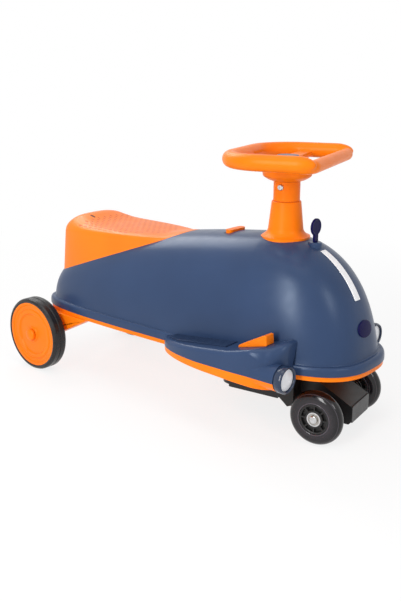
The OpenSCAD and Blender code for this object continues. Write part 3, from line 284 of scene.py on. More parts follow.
class Dome:
    """The body's outside, in metres from the steering axis. A level t is 0 at the wall's foot."""

    FADE = 4  # power with which the nose's outline fades going up

    def __init__(self, b):
        self.b = b

    def nose(self, t):
        return self.b.nose_top_n + (self.b.nose_n - self.b.nose_top_n) * (1 - t) ** self.FADE

    def tail(self, t):
        return self.b.tail_n - (self.b.tail_n - self.b.tail_top_n) * t * t

    def swell(self, t, m):
        """Height of a superellipse of the power m at the share t of its length."""
        return np.maximum(0.0, 1 - np.clip(t, 0, None) ** m) ** (1 / m)

    def fall(self, x):
        b = self.b
        return np.where(x < -b.crown_back, 1 - b.fall * (-b.crown_back - x) / b.rear, 1.0)

    def outline(self, n, front, rear, half, nf, nr):
        """One superellipse ahead of the crown and another behind it."""
        a = full_turn(n)
        ca, sa = np.cos(a), np.sin(a)
        ca[np.abs(ca) < TINY] = 0.0
        sa[np.abs(sa) < TINY] = 0.0
        e = 2 / np.where(ca >= 0, nf, nr)
        reach = np.where(ca >= 0, front, rear)
        return -self.b.crown_back + reach * signed_pow(ca, e), half * signed_pow(sa, e)

    def reach(self, t, d=0.0):
        """Front, rear and half width of a level, for a skin that lies d inside."""
        b = self.b
        s = self.swell(t, b.dome_m)
        return (
            (b.front - d) * (1 - b.lean_front * t) * s,
            (b.rear - d) * (1 - b.lean_rear * t) * self.swell(t, b.tail_m),
            (b.half - d) * (1 - b.lean_side * t) * s,
        )

    def ring(self, t, d, n):
        b = self.b
        x, y = self.outline(n, *self.reach(t, d), self.nose(t), self.tail(t))
        return np.stack([x, y, b.wall_z + (b.crown_h - d) * t * self.fall(x)], 1)

    def rings(self, d, n, levels):
        k = np.arange(levels) / levels
        return [self.ring(t, d, n) for t in np.sin(np.pi / 2 * k) ** (2 / self.b.dome_m)]

    def flange_reach(self, g=1.0, d=0.0):
        """The same at the share g of the flange."""
        b = self.b
        sizes = ((b.front, b.flange_front), (b.rear, b.flange_rear), (b.half, b.flange_side))
        return [wall + g * flange - d for wall, flange in sizes]

    def flange(self, g, d, z, n):
        x, y = self.outline(n, *self.flange_reach(g, d), self.b.nose_n, self.b.tail_n)
        return np.stack([x, y, np.full(n, z)], 1)

    def flange_half(self, x):
        b = self.b
        front, rear, half = self.flange_reach()
        ahead = x >= -b.crown_back
        u = np.minimum(1.0, np.abs(x + b.crown_back) / np.where(ahead, front, rear))
        return half * self.swell(u, np.where(ahead, b.nose_n, b.tail_n))

    def half_at(self, x, z):
        """Half width of the dome at x and the height z, or 0 outside it."""
        b = self.b
        t = np.maximum(0.0, (z - b.wall_z) / (b.crown_h * self.fall(x)))
        inside, t = t < 1, np.minimum(t, 1.0)
        front, rear, half = self.reach(t)
        ahead = x >= -b.crown_back
        n = np.where(ahead, self.nose(t), self.tail(t))
        u = np.abs(x + b.crown_back) / np.maximum(np.where(ahead, front, rear), TINY)
        return np.where(inside & (u < 1), half * self.swell(np.minimum(u, 1.0), n), 0.0)

    def top_at(self, x, y):
        foot = np.full(np.shape(x), self.b.wall_z, float)
        return bisect(foot, foot + self.b.crown_h, lambda z: self.half_at(x, z) > np.abs(y))


class Seat:
    """The seat's outside: a wall that stands on the body, and a saddle."""

    REACH = (0.01, 0.22)  # distances from the middle between which the joint is sought
    TIP_POWER = 8  # how tightly the front is rounded off
    RIM_MIN = 0.001  # least height of the wall
    WALL_STEPS, TOP_STEPS = 24, 110
    LAST = 0.02  # share of the reach at which the rings over the top end
    TIP_LEN = 0.09  # length over which the skin thins toward the tip
    THIN = 0.1  # share of the skin that is left at the tip
    PASSES = 10  # of smoothing up each line
    FOOT_IN, FOOT_UP = 0.003, 0.0003  # place of the foot inside the wall and over the body

    def __init__(self, s, dome):
        self.s, self.dome = s, dome
        self.tip_z = float(dome.top_at(np.array(s.tip_x), np.array(0.0)))

    def joint(self, x):
        s = self.s
        q = np.clip((s.lift_x - x) / s.lift_len, 0, 1)
        rise = (self.tip_z - s.joint_z) / (s.tip_x - s.wall_x)
        return s.joint_z + rise * (x - s.wall_x) + s.lift_h * q * q * (3 - 2 * q)

    def edge(self, ca, sa):
        """Distance of the joint from the middle in each direction, rounded off toward the tip."""
        s, p = self.s, self.TIP_POWER

        def within(m):
            x = s.mid_x + m * ca
            return self.dome.half_at(x, self.joint(x)) > np.abs(m * sa)

        reach = bisect(*(np.full(ca.shape, end) for end in self.REACH), within)
        limit = (s.tip_x - s.mid_x) / np.maximum(ca, 1e-3)
        return (reach**-p + limit**-p) ** (-1 / p)

    def rim(self, x):
        s = self.s
        return np.maximum(s.rim_z + s.rim_rise * (x - s.bump_x), self.joint(x) + self.RIM_MIN)

    def saddle(self, x, y):
        s = self.s
        across = 1 - (y / s.bump_side) ** 2
        return s.saddle_z + s.bump_h * across * np.exp(-(((x - s.bump_x) / s.bump_half) ** 2))

    def foot(self, ring):
        """A copy of the lowest ring that lies under the wall, on the body."""
        made, middle = ring.copy(), np.array([self.s.mid_x, 0.0])
        out = made[:, :2] - middle
        made[:, :2] = middle + out * (1 - self.FOOT_IN / np.linalg.norm(out, axis=1))[:, None]
        made[:, 2] = self.dome.top_at(made[:, 0], made[:, 1]) + self.FOOT_UP
        return made

    def rings(self, n, steps):
        """Rings from the joint up the wall and over the top, rounded where wall and top meet."""
        s = self.s
        ca, sa = np.cos(full_turn(n)), np.sin(full_turn(n))
        reach = self.edge(ca, sa)
        fx, fy = s.mid_x + reach * ca, reach * sa
        foot = self.joint(fx)
        wall_in = math.tan(math.radians(s.draft)) * (self.rim(fx) - foot)
        rx, ry = s.mid_x + (reach - wall_in) * ca, (reach - wall_in) * sa
        rim, rows = self.rim(rx), []
        for k in np.linspace(0, 1, self.WALL_STEPS, endpoint=False):
            rows.append((fx + (rx - fx) * k, fy + (ry - fy) * k, foot + (rim - foot) * k))
        for k in np.linspace(1, self.LAST, self.TOP_STEPS):
            x, y = s.mid_x + k * (rx - s.mid_x), k * ry
            share = 1 - k**s.roundness
            z = rim * (1 - share) + self.saddle(x, y) * share
            skin = s.skin * np.clip((s.tip_x - x) / self.TIP_LEN, self.THIN, 1.0)
            rows.append((x, y, np.maximum(z, self.dome.top_at(x, y) + skin)))
        out = np.empty((n, steps, 3))
        for i, line in enumerate(np.transpose(rows, (2, 0, 1))):
            run = np.cumsum(np.linalg.norm(np.diff(line, axis=0), axis=1))
            run = np.concatenate([[0], run])
            at = np.linspace(0, run[-1], steps)
            out[i] = np.stack([np.interp(at, run, c) for c in line.T], 1)
        for _ in range(self.PASSES):
            out[:, 1:-1] = (out[:, :-2] + 2 * out[:, 1:-1] + out[:, 2:]) / 4
        return [out[:, k] for k in range(steps)]


class Rest:
    """A foot rest's outside, drawn for the car's left side."""

    THIN = 0.001  # least width, and what is left off at either end
    EDGE_SHARE, EDGE_MORE = 0.6, 0.25  # of the width that the top edge may take, more in front
    LAMP_COS = -0.7  # how far over the headlamp the fairing may reach
    UNDER = 0.3  # radians by which the fairing is carried on below
    FAIRING_POINTS, ARC_POINTS, BEND_POINTS, STEPS = 18, 13, 6, 6
    WALL_MIN = 0.0005  # least height of the side under the top edge
    LEAN_H = 0.005  # over which the inside takes up the body's lean
    STEP = 0.0004  # distance of the base's side inside the cover's
    LIP = 0.002  # height of the bend along the base's lower edge
    LIP_MIN = 0.0001  # least width of the flat under the base

    def __init__(self, r, dome):
        self.r, self.dome = r, dome

    def turned(self, x):
        """How far the outside has turned in, from 0 to 1."""
        return np.clip((x - self.r.turn) / (self.r.front - self.r.turn), 0, 1)

    def outside(self, x):
        r = self.r
        q = np.minimum(1.0, (x - r.tail) / r.swell)
        swell = np.sqrt(np.maximum(0, 1 - (1 - q) ** 2))
        w = self.dome.flange_half(x) + self.THIN + (r.out - self.THIN) * swell
        turn = 1 - (1 - self.turned(x) ** r.bend) ** (1 / r.bend)
        return w - (w - self.inside(x) - self.THIN) * turn

    def inside(self, x):
        return self.dome.flange_half(x) + self.r.gap

    def top(self, x):
        r = self.r
        rear = r.z_mid - (r.z_mid - r.z_tail) * x / r.tail
        q = np.maximum(0.0, x - r.front + r.nose_round)
        drop = r.nose_round - np.sqrt(r.nose_round**2 - q * q)
        return np.where(x < 0, rear, r.z_mid + (r.z_front - r.z_mid) * x / r.front - drop)

    def edge(self, x):
        r = self.r
        q = np.minimum(1.0, 2 * self.turned(x))
        room = (self.outside(x) - self.inside(x)) * (self.EDGE_SHARE + self.EDGE_MORE * q)
        return float(np.minimum(r.edge + (r.nose_edge - r.edge) * q, room))

    def low(self, x):
        r = self.r
        deeper = (r.base_front - r.base_rear) * (x - r.tail) / (r.front - r.tail)
        return self.dome.b.seam_z - r.base_rear - deeper

    def stations(self, n):
        r = self.r
        run = (1 - np.cos(np.linspace(0, np.pi, n))) / 2
        return r.tail + self.THIN + (r.front - r.tail - 2 * self.THIN) * run

    def fairing(self, x, o, radius, upward):
        """Points up or down the side from the seam, round the headlamp where the side turns in."""
        r, under = self.r, -math.pi / 2
        first = math.asin((self.dome.b.seam_z - r.lamp_z) / radius)
        share = max(self.LAMP_COS, min(1.0, (o - r.lamp_y) / radius))
        meet = math.acos(share) if x > 0 else 0.0
        last = meet if upward else max(-meet, under) - self.UNDER
        side = []
        for a in np.linspace(first, last, self.FAIRING_POINTS):
            y = r.lamp_y + radius * math.cos(a) if x > 0 else o
            side.append([max(o, y), r.lamp_z + radius * math.sin(max(a, under))])
        return side

    def cover_section(self, x):
        b, steps = self.dome.b, range(1, self.STEPS + 1)
        o, f, z = float(self.outside(x)), float(self.inside(x)), float(self.top(x))
        side = self.fairing(x, o, self.r.fairing_r, True)
        start = side[-1][1]
        rad = min(self.edge(x), z - start - self.WALL_MIN)
        share = max(0.0, min(1.0, (z - b.wall_z) / self.LEAN_H))
        half = self.dome.half_at(np.array(x), np.array(z))
        lean = share * float(half - self.dome.flange_half(x))
        side += [[o, start + (z - rad - start) * k / self.STEPS] for k in steps]
        for a in quarter(self.ARC_POINTS)[1:]:
            side.append([o - rad + rad * math.cos(a), z - rad + rad * math.sin(a)])
        side += [[o - rad + (f + lean - o + rad) * k / self.STEPS, z] for k in steps]
        side += [[f, min(z, b.wall_z) - self.THIN], [f, b.seam_z]]
        return np.array([[x, y, h] for y, h in side])

    def base_section(self, x):
        o = float(self.outside(x)) - self.STEP
        f = min(float(self.inside(x)), o - self.STEP)
        low = float(self.low(x))
        side = self.fairing(x, o, self.r.fairing_r - self.STEP, False)
        inner = max(f + self.LIP_MIN, o - self.THIN)
        loop = [[f, low]]
        for a in quarter(self.BEND_POINTS)[:-1]:
            loop.append([inner + (o - inner) * math.sin(a), low + self.LIP * (1 - math.cos(a))])
        loop += [[y, max(h, low + self.LIP)] for y, h in side[::-1]]
        return np.array([[x, y, h] for y, h in loop + [[f, self.dome.b.seam_z]]])


# ---- meshes

FLAT, OPEN = "flat", "open"  # ends of a loft
WELD, BEVEL_ANGLE = 1e-5, 32.0
MATERIALS = {}


def mesh_object(name, points, faces):
    mesh = bpy.data.meshes.new(name)
    mesh.from_pydata([tuple(p) for p in points], [], faces)
    mesh.validate()
    obj = bpy.data.objects.new(name, mesh)
    bpy.context.scene.collection.objects.link(obj)
    return obj


def outward(obj):
    bm = bmesh.new()
    bm.from_mesh(obj.data)
    bmesh.ops.recalc_face_normals(bm, faces=bm.faces)
    bm.to_mesh(obj.data)
    bm.free()
    return obj


def solid(name, points, faces):
    return outward(mesh_object(name, points, faces))


def quads(m, n, ends=True, sides=True):
    """Faces between m rings of n points, joined at the ends and at the sides of the rows or not."""
    return [
        [k * n + i, k * n + (i + 1) % n, (k + 1) % m * n + (i + 1) % n, (k + 1) % m * n + i]
        for k in range(m if ends else m - 1)
        for i in range(n if sides else n - 1)
    ]


def loft(name, rings, first, last, x=0.0):
    """A skin through rings of equal count; each end is a point, FLAT or OPEN."""
    m, n = len(rings), len(rings[0])
    points = list(np.concatenate(rings))

    def close(end, rim, way):
        if isinstance(end, str):
            return [rim[::way]] if end == FLAT else []
        points.append(end)
        pairs = [(rim[i], rim[(i + 1) % n]) for i in range(n)]
        return [[len(points) - 1, *pair[::way]] for pair in pairs]

    faces = close(first, list(range(n)), -1) + quads(m, n, ends=False)
    faces += close(last, list(range((m - 1) * n, m * n)), 1)
    points = np.array(points)
    points[:, 0] += x
    return solid(name, points, faces)


def lathe(name, profile, n, x=0.0):
    """A turned solid about a vertical axis, on which the profile starts and ends."""
    ca, sa = np.cos(full_turn(n)), np.sin(full_turn(n))
    rings = [np.stack([r * ca, r * sa, np.full(n, z)], 1) for r, z in profile[1:-1]]
    foot, head = (np.array([0.0, 0.0, profile[k][1]]) for k in (0, -1))
    return loft(name, rings, foot, head, x)


def drill(name, radius, low, high, n, x=0.0):
    return lathe(name, [(0, low), (radius, low), (radius, high), (0, high)], n, x)


def hoop(name, profile, n):
    """A turned ring about a vertical axis; the profile is a closed loop of (radius, height)."""
    points = [(r * math.cos(a), r * math.sin(a), z) for a in full_turn(n) for r, z in profile]
    return solid(name, points, quads(n, len(profile)))


def box_object(name, low, high):
    (x0, y0, z0), (x1, y1, z1) = low, high
    points = [(x, y, z) for z in (z0, z1) for y in (y0, y1) for x in (x0, x1)]
    faces = [(0, 2, 3, 1), (4, 5, 7, 6), (0, 1, 5, 4), (2, 6, 7, 3), (0, 4, 6, 2), (1, 3, 7, 5)]
    return solid(name, points, faces)


def turned_by(degrees, axis):
    return Matrix.Rotation(math.radians(degrees), 4, axis)


def drop(*objs):
    for o in objs:
        bpy.data.objects.remove(o, do_unlink=True)


def join_points(objs, name):
    points, faces, start = [], [], 0
    for o in objs:
        points += [tuple(v.co) for v in o.data.vertices]
        faces += [[start + i for i in p.vertices] for p in o.data.polygons]
        start += len(o.data.vertices)
    made = mesh_object(name, points, faces)
    drop(*objs)
    return made


def bake(obj):
    """Turns the object's modifiers into its mesh."""
    dg = bpy.context.evaluated_depsgraph_get()
    made = bpy.data.meshes.new_from_object(obj.evaluated_get(dg))
    obj.modifiers.clear()
    obj.data = made


def cut(obj, *cutters):
    for c in cutters:
        m = obj.modifiers.new("Cut", "BOOLEAN")
        m.operation, m.solver, m.object = "DIFFERENCE", "EXACT", c
    bake(obj)
    drop(*cutters)


def smooth(obj, angle=None):
    """Smooth shading, with edges sharper than the angle kept hard."""
    mesh = obj.data
    mesh.polygons.foreach_set("use_smooth", [True] * len(mesh.polygons))
    if angle is not None:
        mesh.set_sharp_from_angle(angle=math.radians(angle))


def soften(node, width, segments):
    """Rounds the edges of a CAD node that stays in view, through modifiers only."""
    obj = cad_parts[node]
    with bpy.context.temp_override(object=obj, active_object=obj, selected_objects=[obj]):
        bpy.ops.mesh.customdata_custom_splitnormals_clear()
    smooth(obj)
    obj.modifiers.new("Weld", "WELD").merge_threshold = WELD
    bevel = obj.modifiers.new("Edge", "BEVEL")
    bevel.width, bevel.segments = width, segments
    bevel.limit_method, bevel.angle_limit = "ANGLE", math.radians(BEVEL_ANGLE)
    bevel.use_clamp_overlap = True
    obj.modifiers.new("Normals", "WEIGHTED_NORMAL").keep_sharp = True


def dress(obj, material, slot):
    obj.data.materials.clear()
    obj.data.materials.append(MATERIALS[material])


def piece(obj, angle, body, slot, material, *nodes):
    """Lets a made object take the place of CAD nodes."""
    smooth(obj, angle)
    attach(obj, body)
    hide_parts(*nodes)
    dress(obj, material, slot)


# ---- finishes


class Val:
    """A shader socket that takes part in sums."""

    def __init__(self, tree, socket):
        self.tree, self.socket = tree, socket

    def make(self, kind, inputs=(), out=0, **props):
        """Any node: inputs are (name or number, value) pairs."""
        n = self.tree.nodes.new(kind)
        for k, v in props.items():
            setattr(n, k, v)
        for key, v in inputs:
            if isinstance(v, Val):
                self.tree.links.new(v.socket, n.inputs[key])
            else:
                n.inputs[key].default_value = v
        return Val(self.tree, n.outputs[out])

    def sum(self, op, *terms):
        return self.make("ShaderNodeMath", enumerate(terms), operation=op)

    def math(self, op, *more):
        return self.sum(op, self, *more)

    def __add__(self, o):
        return self.sum("ADD", self, o)

    def __radd__(self, o):
        return self.sum("ADD", o, self)

    def __sub__(self, o):
        return self.sum("SUBTRACT", self, o)

    def __rsub__(self, o):
        return self.sum("SUBTRACT", o, self)

    def __mul__(self, o):
        return self.sum("MULTIPLY", self, o)

    def __rmul__(self, o):
        return self.sum("MULTIPLY", o, self)

    def __truediv__(self, o):
        return self.sum("DIVIDE", self, o)

    def __rtruediv__(self, o):
        return self.sum("DIVIDE", o, self)

    def between(self, low, high, to_low=0.0, to_high=1.0):
        """A smooth step from to_low to to_high while this goes from low to high."""
        names = ("Value", "From Min", "From Max", "To Min", "To Max")
        pairs = zip(names, (self, low, high, to_low, to_high))
        return self.make("ShaderNodeMapRange", pairs, interpolation_type="SMOOTHSTEP")

    def tint(self, a, b):
        """A colour between a and b by this value."""
        pairs = [(0, self), (6, a), (7, b)]
        return self.make("ShaderNodeMix", pairs, out=2, data_type="RGBA")

    def parts(self):
        return [self.make("ShaderNodeSeparateXYZ", [(0, self)], out=k) for k in range(3)]

    def near(self, place, inner, outer):
        """One where this is within inner of place, none beyond outer."""
        return (self - place).math("ABSOLUTE").between(inner, outer, 1.0, 0.0)


def hypot(a, b):
    return (a * a + b * b).math("SQRT")


def rgba(c, *k):
    """A colour, each part times k or times its own k."""
    k = k * 3 if len(k) == 1 else k or (1.0, 1.0, 1.0)
    return (*(min(1.0, v * w) for v, w in zip(c, k)), 1.0)


class Finish:
    """A material under construction."""

    def __init__(self, name):
        self.material = bpy.data.materials.new(name)
        self.material.use_nodes = True
        self.tree = self.material.node_tree
        self.shader = next(n for n in self.tree.nodes if n.type == "BSDF_PRINCIPLED")
        coord = self.tree.nodes.new("ShaderNodeTexCoord")
        self.place = Val(self.tree, coord.outputs["Object"])

    def noise(self, scale, detail=2.0, rough=0.5):
        names = ("Vector", "Scale", "Detail", "Roughness")
        return self.place.make("ShaderNodeTexNoise", zip(names, (self.place, scale, detail, rough)))

    def bump(self, height, strength, distance):
        names = ("Height", "Strength", "Distance")
        return self.place.make("ShaderNodeBump", zip(names, (height, strength, distance)))

    def mottle(self, noise, base, dark, light):
        return noise.between(0.3, 0.7).tint(rgba(base, dark), rgba(base, light))

    def gloss(self, noise, rough, spread):
        return noise.between(0.25, 0.75, max(0.02, rough - spread), rough + spread)

    def plastic(self, base, rough, dark, light):
        """The slight mottle, the uneven gloss and the fine grain of moulded plastic."""
        col = self.mottle(self.noise(9.0, 3.0), base, dark, light)
        gloss = self.gloss(self.noise(60.0, 4.0), rough, 0.035)
        return col, gloss, self.noise(1400.0, 2.0, 0.6)

    def from_axle(self, place, turn):
        """Distance from a level axle through place that is turned about the vertical."""
        x, y, z = self.place.parts()
        c, s = math.cos(math.radians(turn)), math.sin(math.radians(turn))
        return hypot((x - place[0]) * c + (y - place[1]) * s, z - place[2])

    def done(self, col, gloss, bump=None, shine=0.5, tint=(1.0, 1.0, 1.0), metal=0.0, coat=0.0):
        for name, v in (("Base Color", col), ("Roughness", gloss), ("Normal", bump)):
            if v is not None:
                self.tree.links.new(v.socket, self.shader.inputs[name])
        names = ("Specular IOR Level", "Specular Tint", "Metallic", "Coat Weight")
        for name, v in zip(names, (shine, rgba(tint), metal, coat)):
            self.shader.inputs[name].default_value = v
        return self.material


GRAIN_DEPTH, FINE_DEPTH = 0.0003, 0.0002  # of the bumps in moulded plastic and in other goods


def moulded(name, base, rough, grain=0.12, shade=0.06, shine=0.3, tint=(1.0, 1.0, 1.0)):
    """Moulded plastic: fine grain, a slight mottle and uneven gloss."""
    f = Finish(name)
    col, gloss, fine = f.plastic(base, rough, 1 - shade, 1 + shade)
    return f.done(col, gloss, f.bump(fine, grain, GRAIN_DEPTH), shine, tint)


def seat_finish(name, base, rough, seat, steer_x):
    """Moulded plastic with rows of short grooves in the saddle, and a slit in the bump; both are
    bumped in and darkened with painted shade.
    """
    f = Finish(name)
    x, y, z = f.place.parts()
    pitch_x, pitch_y, dash = 0.0125, 0.0075, 0.0026
    slit_half, round_off = 0.004, 0.45
    row = (y / pitch_y).math("FLOOR")
    shifted = (x - steer_x) / pitch_x + row * 0.5
    u = (shifted.math("FRACT") - 0.5) * pitch_x
    v = ((y / pitch_y).math("FRACT") - 0.5) * pitch_y
    end = (u.math("ABSOLUTE") - dash).math("MAXIMUM", 0.0)
    groove = hypot(end, v).between(0.0007, 0.0014, 1.0, 0.0)
    share = (seat.front_x - (x - u - steer_x)) / (seat.front_x - seat.rear_x)
    half = (share / round_off).math("MINIMUM", 1.0).math("MAXIMUM", 0.0)
    half = half.math("SQRT") * seat.field_half
    inside = (half - (y - v).math("ABSOLUTE")).between(0.0, 0.0004)
    inside = inside * (1.0 - share).between(0.0, 0.001)
    groove_dent_and_shade = groove * inside * z.between(seat.saddle_z - 0.004, seat.saddle_z - 0.002)
    along = (x - (steer_x + seat.slit_x)).math("ABSOLUTE")
    along = (along - slit_half).math("MAXIMUM", 0.0)
    slit = hypot(along, y + seat.slit_y).between(0.0018, 0.0024, 1.0, 0.0)
    slit = slit * z.between(seat.saddle_z, seat.saddle_z + 0.004)
    col, gloss, fine = f.plastic(base, rough, 0.95, 1.05)
    # Painted shade in the grooves: their colour is made darker and redder.
    col = (groove_dent_and_shade * 0.75).tint(col, rgba(base, 0.60, 0.30, 0.3))
    # Painted shade in the slit: its colour is made nearly black.
    col = slit.tint(col, rgba(base, 0.10, 0.10, 1.0))
    bump = f.bump(fine * 0.12 - groove_dent_and_shade * 4.0 - slit * 6.0, 1.0, GRAIN_DEPTH)
    return f.done(col, gloss, bump, 0.32)


def ribbed(name, base, rough, first, pitch, width):
    """Moulded plastic with painted shade, darker between the ribs that run along the car."""
    f = Finish(name)
    y, soft = f.place.parts()[1], 0.0004
    step = ((y.math("ABSOLUTE") - first) / pitch).math("FRACT") * pitch
    painted_valley_shade = step.between(width - soft, width + soft)
    painted_valley_shade = painted_valley_shade * step.between(pitch - 2 * soft, pitch, 1.0, 0.0)
    col, gloss, fine = f.plastic(base, rough, 0.95, 1.1)
    # Painted shade in the valleys between the ribs.
    col = painted_valley_shade.tint(col, rgba(base, 0.25))
    return f.done(col, gloss, f.bump(fine, 0.12, GRAIN_DEPTH), 0.26)


def smoky(name, base, wheel, place):
    """Smoky urethane: light near the core, dark at the tread, cast streaks, and painted highlights:
    a bright line near the tread and a light ring at the core's lip.
    """
    f = Finish(name)
    r = f.from_axle(place, wheel.rest_turn)
    streak = f.noise(220.0, 6.0, 0.7)
    depth = r.between(wheel.core + 0.004, wheel.radius - 0.002)
    col = depth.tint(rgba(base, 1.25), rgba(base, 0.22))
    col = (streak.between(0.35, 0.75) * 0.55).tint(col, rgba(base, 0.45))
    # Painted highlights: a bright thin line near the tread and a light ring round the core's lip,
    # standing for reflections in the clear urethane.
    line = r.near(wheel.radius - 0.0036, 0.0002, 0.0007)
    lip = r.near(wheel.core + 0.0016, 0.0003, 0.0010)
    col = (line * 0.3 + lip * 0.45).tint(col, rgba(base, 7.0))
    gloss = streak.between(0.3, 0.7, 0.12, 0.2)
    return f.done(col, gloss, f.bump(f.noise(900.0, 2.0), 0.05, FINE_DEPTH), 0.4)


def bearing(name, base, wheel, place):
    """Bearing steel with darker shields between its races."""
    f = Finish(name)
    r, k = f.from_axle(place, wheel.rest_turn), wheel.bore
    marks = f.noise(260.0, 5.0, 0.6)
    shield = r.between(k * 0.50, k * 0.56) * r.between(k * 0.78, k * 0.84, 1.0, 0.0)
    col = f.mottle(marks, base, 0.9, 1.1)
    col = (shield * 0.7).tint(col, rgba(base, 0.55, 0.50, 0.42))
    bump = f.bump(f.noise(2200.0, 2.0), 0.08, FINE_DEPTH)
    return f.done(col, f.gloss(marks, 0.29, 0.05), bump, metal=1.0)


def turned(name, base, rough, scale, metal=0.0, shine=0.5):
    """Turned or cast goods: faint marks with uneven gloss."""
    f = Finish(name)
    marks = f.noise(scale, 5.0, 0.6)
    bump = f.bump(f.noise(2200.0, 2.0), 0.08, FINE_DEPTH)
    col, gloss = f.mottle(marks, base, 0.9, 1.1), f.gloss(marks, rough, 0.05)
    return f.done(col, gloss, bump, shine, metal=metal)


def lens_finish(name, base, pitch):
    """Milky cover with fine ribs on its face."""
    f = Finish(name)
    rib = ((f.place.parts()[2] / pitch).math("FRACT") - 0.5).math("ABSOLUTE")
    cloud = f.noise(80.0, 3.0)
    gloss = cloud.between(0.3, 0.7, 0.22, 0.30)
    return f.done(f.mottle(cloud, base, 0.97, 1.03), gloss, f.bump(rib, 0.25, 0.0004), coat=0.4)


# ---- operators


class CAR_OT_finishes(bpy.types.Operator):
    """Makes the procedural materials of the car"""

    bl_idname = "car.finishes"
    bl_label = "Make finishes"

    RIB_FIRST, RIB_PITCH, RIB_WIDTH = 0.104, 0.005, 0.002  # on the foot mats
    LENS_PITCH = 0.0032
    BEZEL_SHADE = 0.55

    def execute(self, context):
        s = context.scene
        c, seat, steer_x, w = s.car_finish, s.car_seat, s.car_body.steer_x, s.car_wheel
        turn = math.radians(w.rest_turn)
        axle = (steer_x + w.trail * math.cos(turn), w.trail * math.sin(turn), w.radius)
        dark = [k * self.BEZEL_SHADE for k in c.navy]
        ribs = (self.RIB_FIRST, self.RIB_PITCH, self.RIB_WIDTH)
        MATERIALS.update(
            navy=moulded("Navy plastic", c.navy, 0.31, 0.05, shine=0.31, tint=(0.74, 0.86, 1.0)),
            orange=moulded("Orange plastic", c.orange, 0.36, shine=0.22, tint=(1.0, 0.80, 0.55)),
            seat=seat_finish("Grooved plastic", c.orange, 0.38, seat, steer_x),
            black=moulded("Black plastic", c.black, 0.36, 0.25, 0.12, shine=0.36),
            rubber=turned("Tyre rubber", c.rubber, 0.30, 140.0, shine=0.35),
            mat=ribbed("Ribbed mat", c.navy, 0.4, *ribs),
            bezel=moulded("Bezel plastic", dark, 0.2, 0.04, shine=0.5),
            smoke=smoky("Smoky urethane", c.smoke, w, axle),
            bearing=bearing("Bearing steel", c.steel, w, axle),
            steel=turned("Steel", c.steel, 0.30, 260.0, metal=1.0),
            lens=lens_finish("Milky lens", c.milk, self.LENS_PITCH),
            strip=lens_finish("White strip", c.strip, self.LENS_PITCH),
            badge=moulded("Badge plastic", c.badge, 0.25, 0.05, shine=0.08),
            bush=moulded("Bush plastic", c.bush, 0.5),
        )
        return {"FINISHED"}


class CAR_OT_body(bpy.types.Operator):
    """Builds the smooth body cover with its rolled flange"""

    bl_idname = "car.body"
    bl_label = "Build body cover"

    POINTS, LEVELS, INNER_LEVELS, COLUMN_ROUND, KEY_ROUND = 192, 46, 20, 64, 32
    SHARP = 50  # degrees from which an edge stays hard
    # Shares of the flange's reach and of its height, from the seam up to the wall.
    BEAD = [(1, 0), (1, 0.3), (0.985, 0.46), (0.95, 0.61), (0.88, 0.75), (0.76, 0.86)]
    BEAD += [(0.6, 0.925), (0.42, 0.94), (0.26, 0.925), (0.13, 0.915), (0.05, 0.935)]
    OVER, SLOT_DEPTH = 0.01, 0.06  # reach of the cutters above and below the crown

    def execute(self, context):
        b, n = context.scene.car_body, self.POINTS
        dome = Dome(b)
        h, top = b.wall_z - b.seam_z, b.wall_z + b.crown_h
        outer = [dome.flange(g, 0.0, b.seam_z + h * k, n) for g, k in self.BEAD]
        outer += dome.rings(0.0, n, self.LEVELS)
        foot = ((1, b.seam_z), (0.92, b.seam_z + h * 0.5), (0.3, b.wall_z - b.wall))
        inner = [dome.flange(g, b.wall, z, n) for g, z in foot]
        inner += dome.rings(b.wall, n, self.INNER_LEVELS)
        crown = np.array([-b.crown_back, 0.0, top])
        under = crown - [0.0, 0.0, b.wall]
        cover = loft("body_cover", inner[::-1] + outer, under, crown, b.steer_x)
        over, sx = top + self.OVER, b.steer_x + b.slot_x
        cut(
            cover,
            drill("cut_column", b.column_hole, b.wall_z, over, self.COLUMN_ROUND, b.steer_x),
            drill("cut_key", b.key_hole, b.wall_z, top, self.KEY_ROUND, b.steer_x + b.key_x),
            box_object(
                "cut_slot",
                (sx - b.slot_w / 2, -b.slot_l / 2, top - self.SLOT_DEPTH),
                (sx + b.slot_w / 2, b.slot_l / 2, over),
            ),
        )
        piece(cover, self.SHARP, "car", "navy_plastic", "navy", "body_shell")
        return {"FINISHED"}


class CAR_OT_seat(bpy.types.Operator):
    """Builds the seat with its rounded rim and saddle"""

    bl_idname = "car.seat"
    bl_label = "Build seat"

    POINTS, STEPS, SHARP = 192, 84, 60

    def execute(self, context):
        b, s = context.scene.car_body, context.scene.car_seat
        seat = Seat(s, Dome(b))
        rings = seat.rings(self.POINTS, self.STEPS)
        top = np.array([s.mid_x, 0, float(seat.saddle(s.mid_x, 0.0))])
        made = loft("seat_shell", [seat.foot(rings[0])] + rings, OPEN, top, b.steer_x)
        piece(made, self.SHARP, "car", "orange_plastic", "seat", "seat")
        return {"FINISHED"}


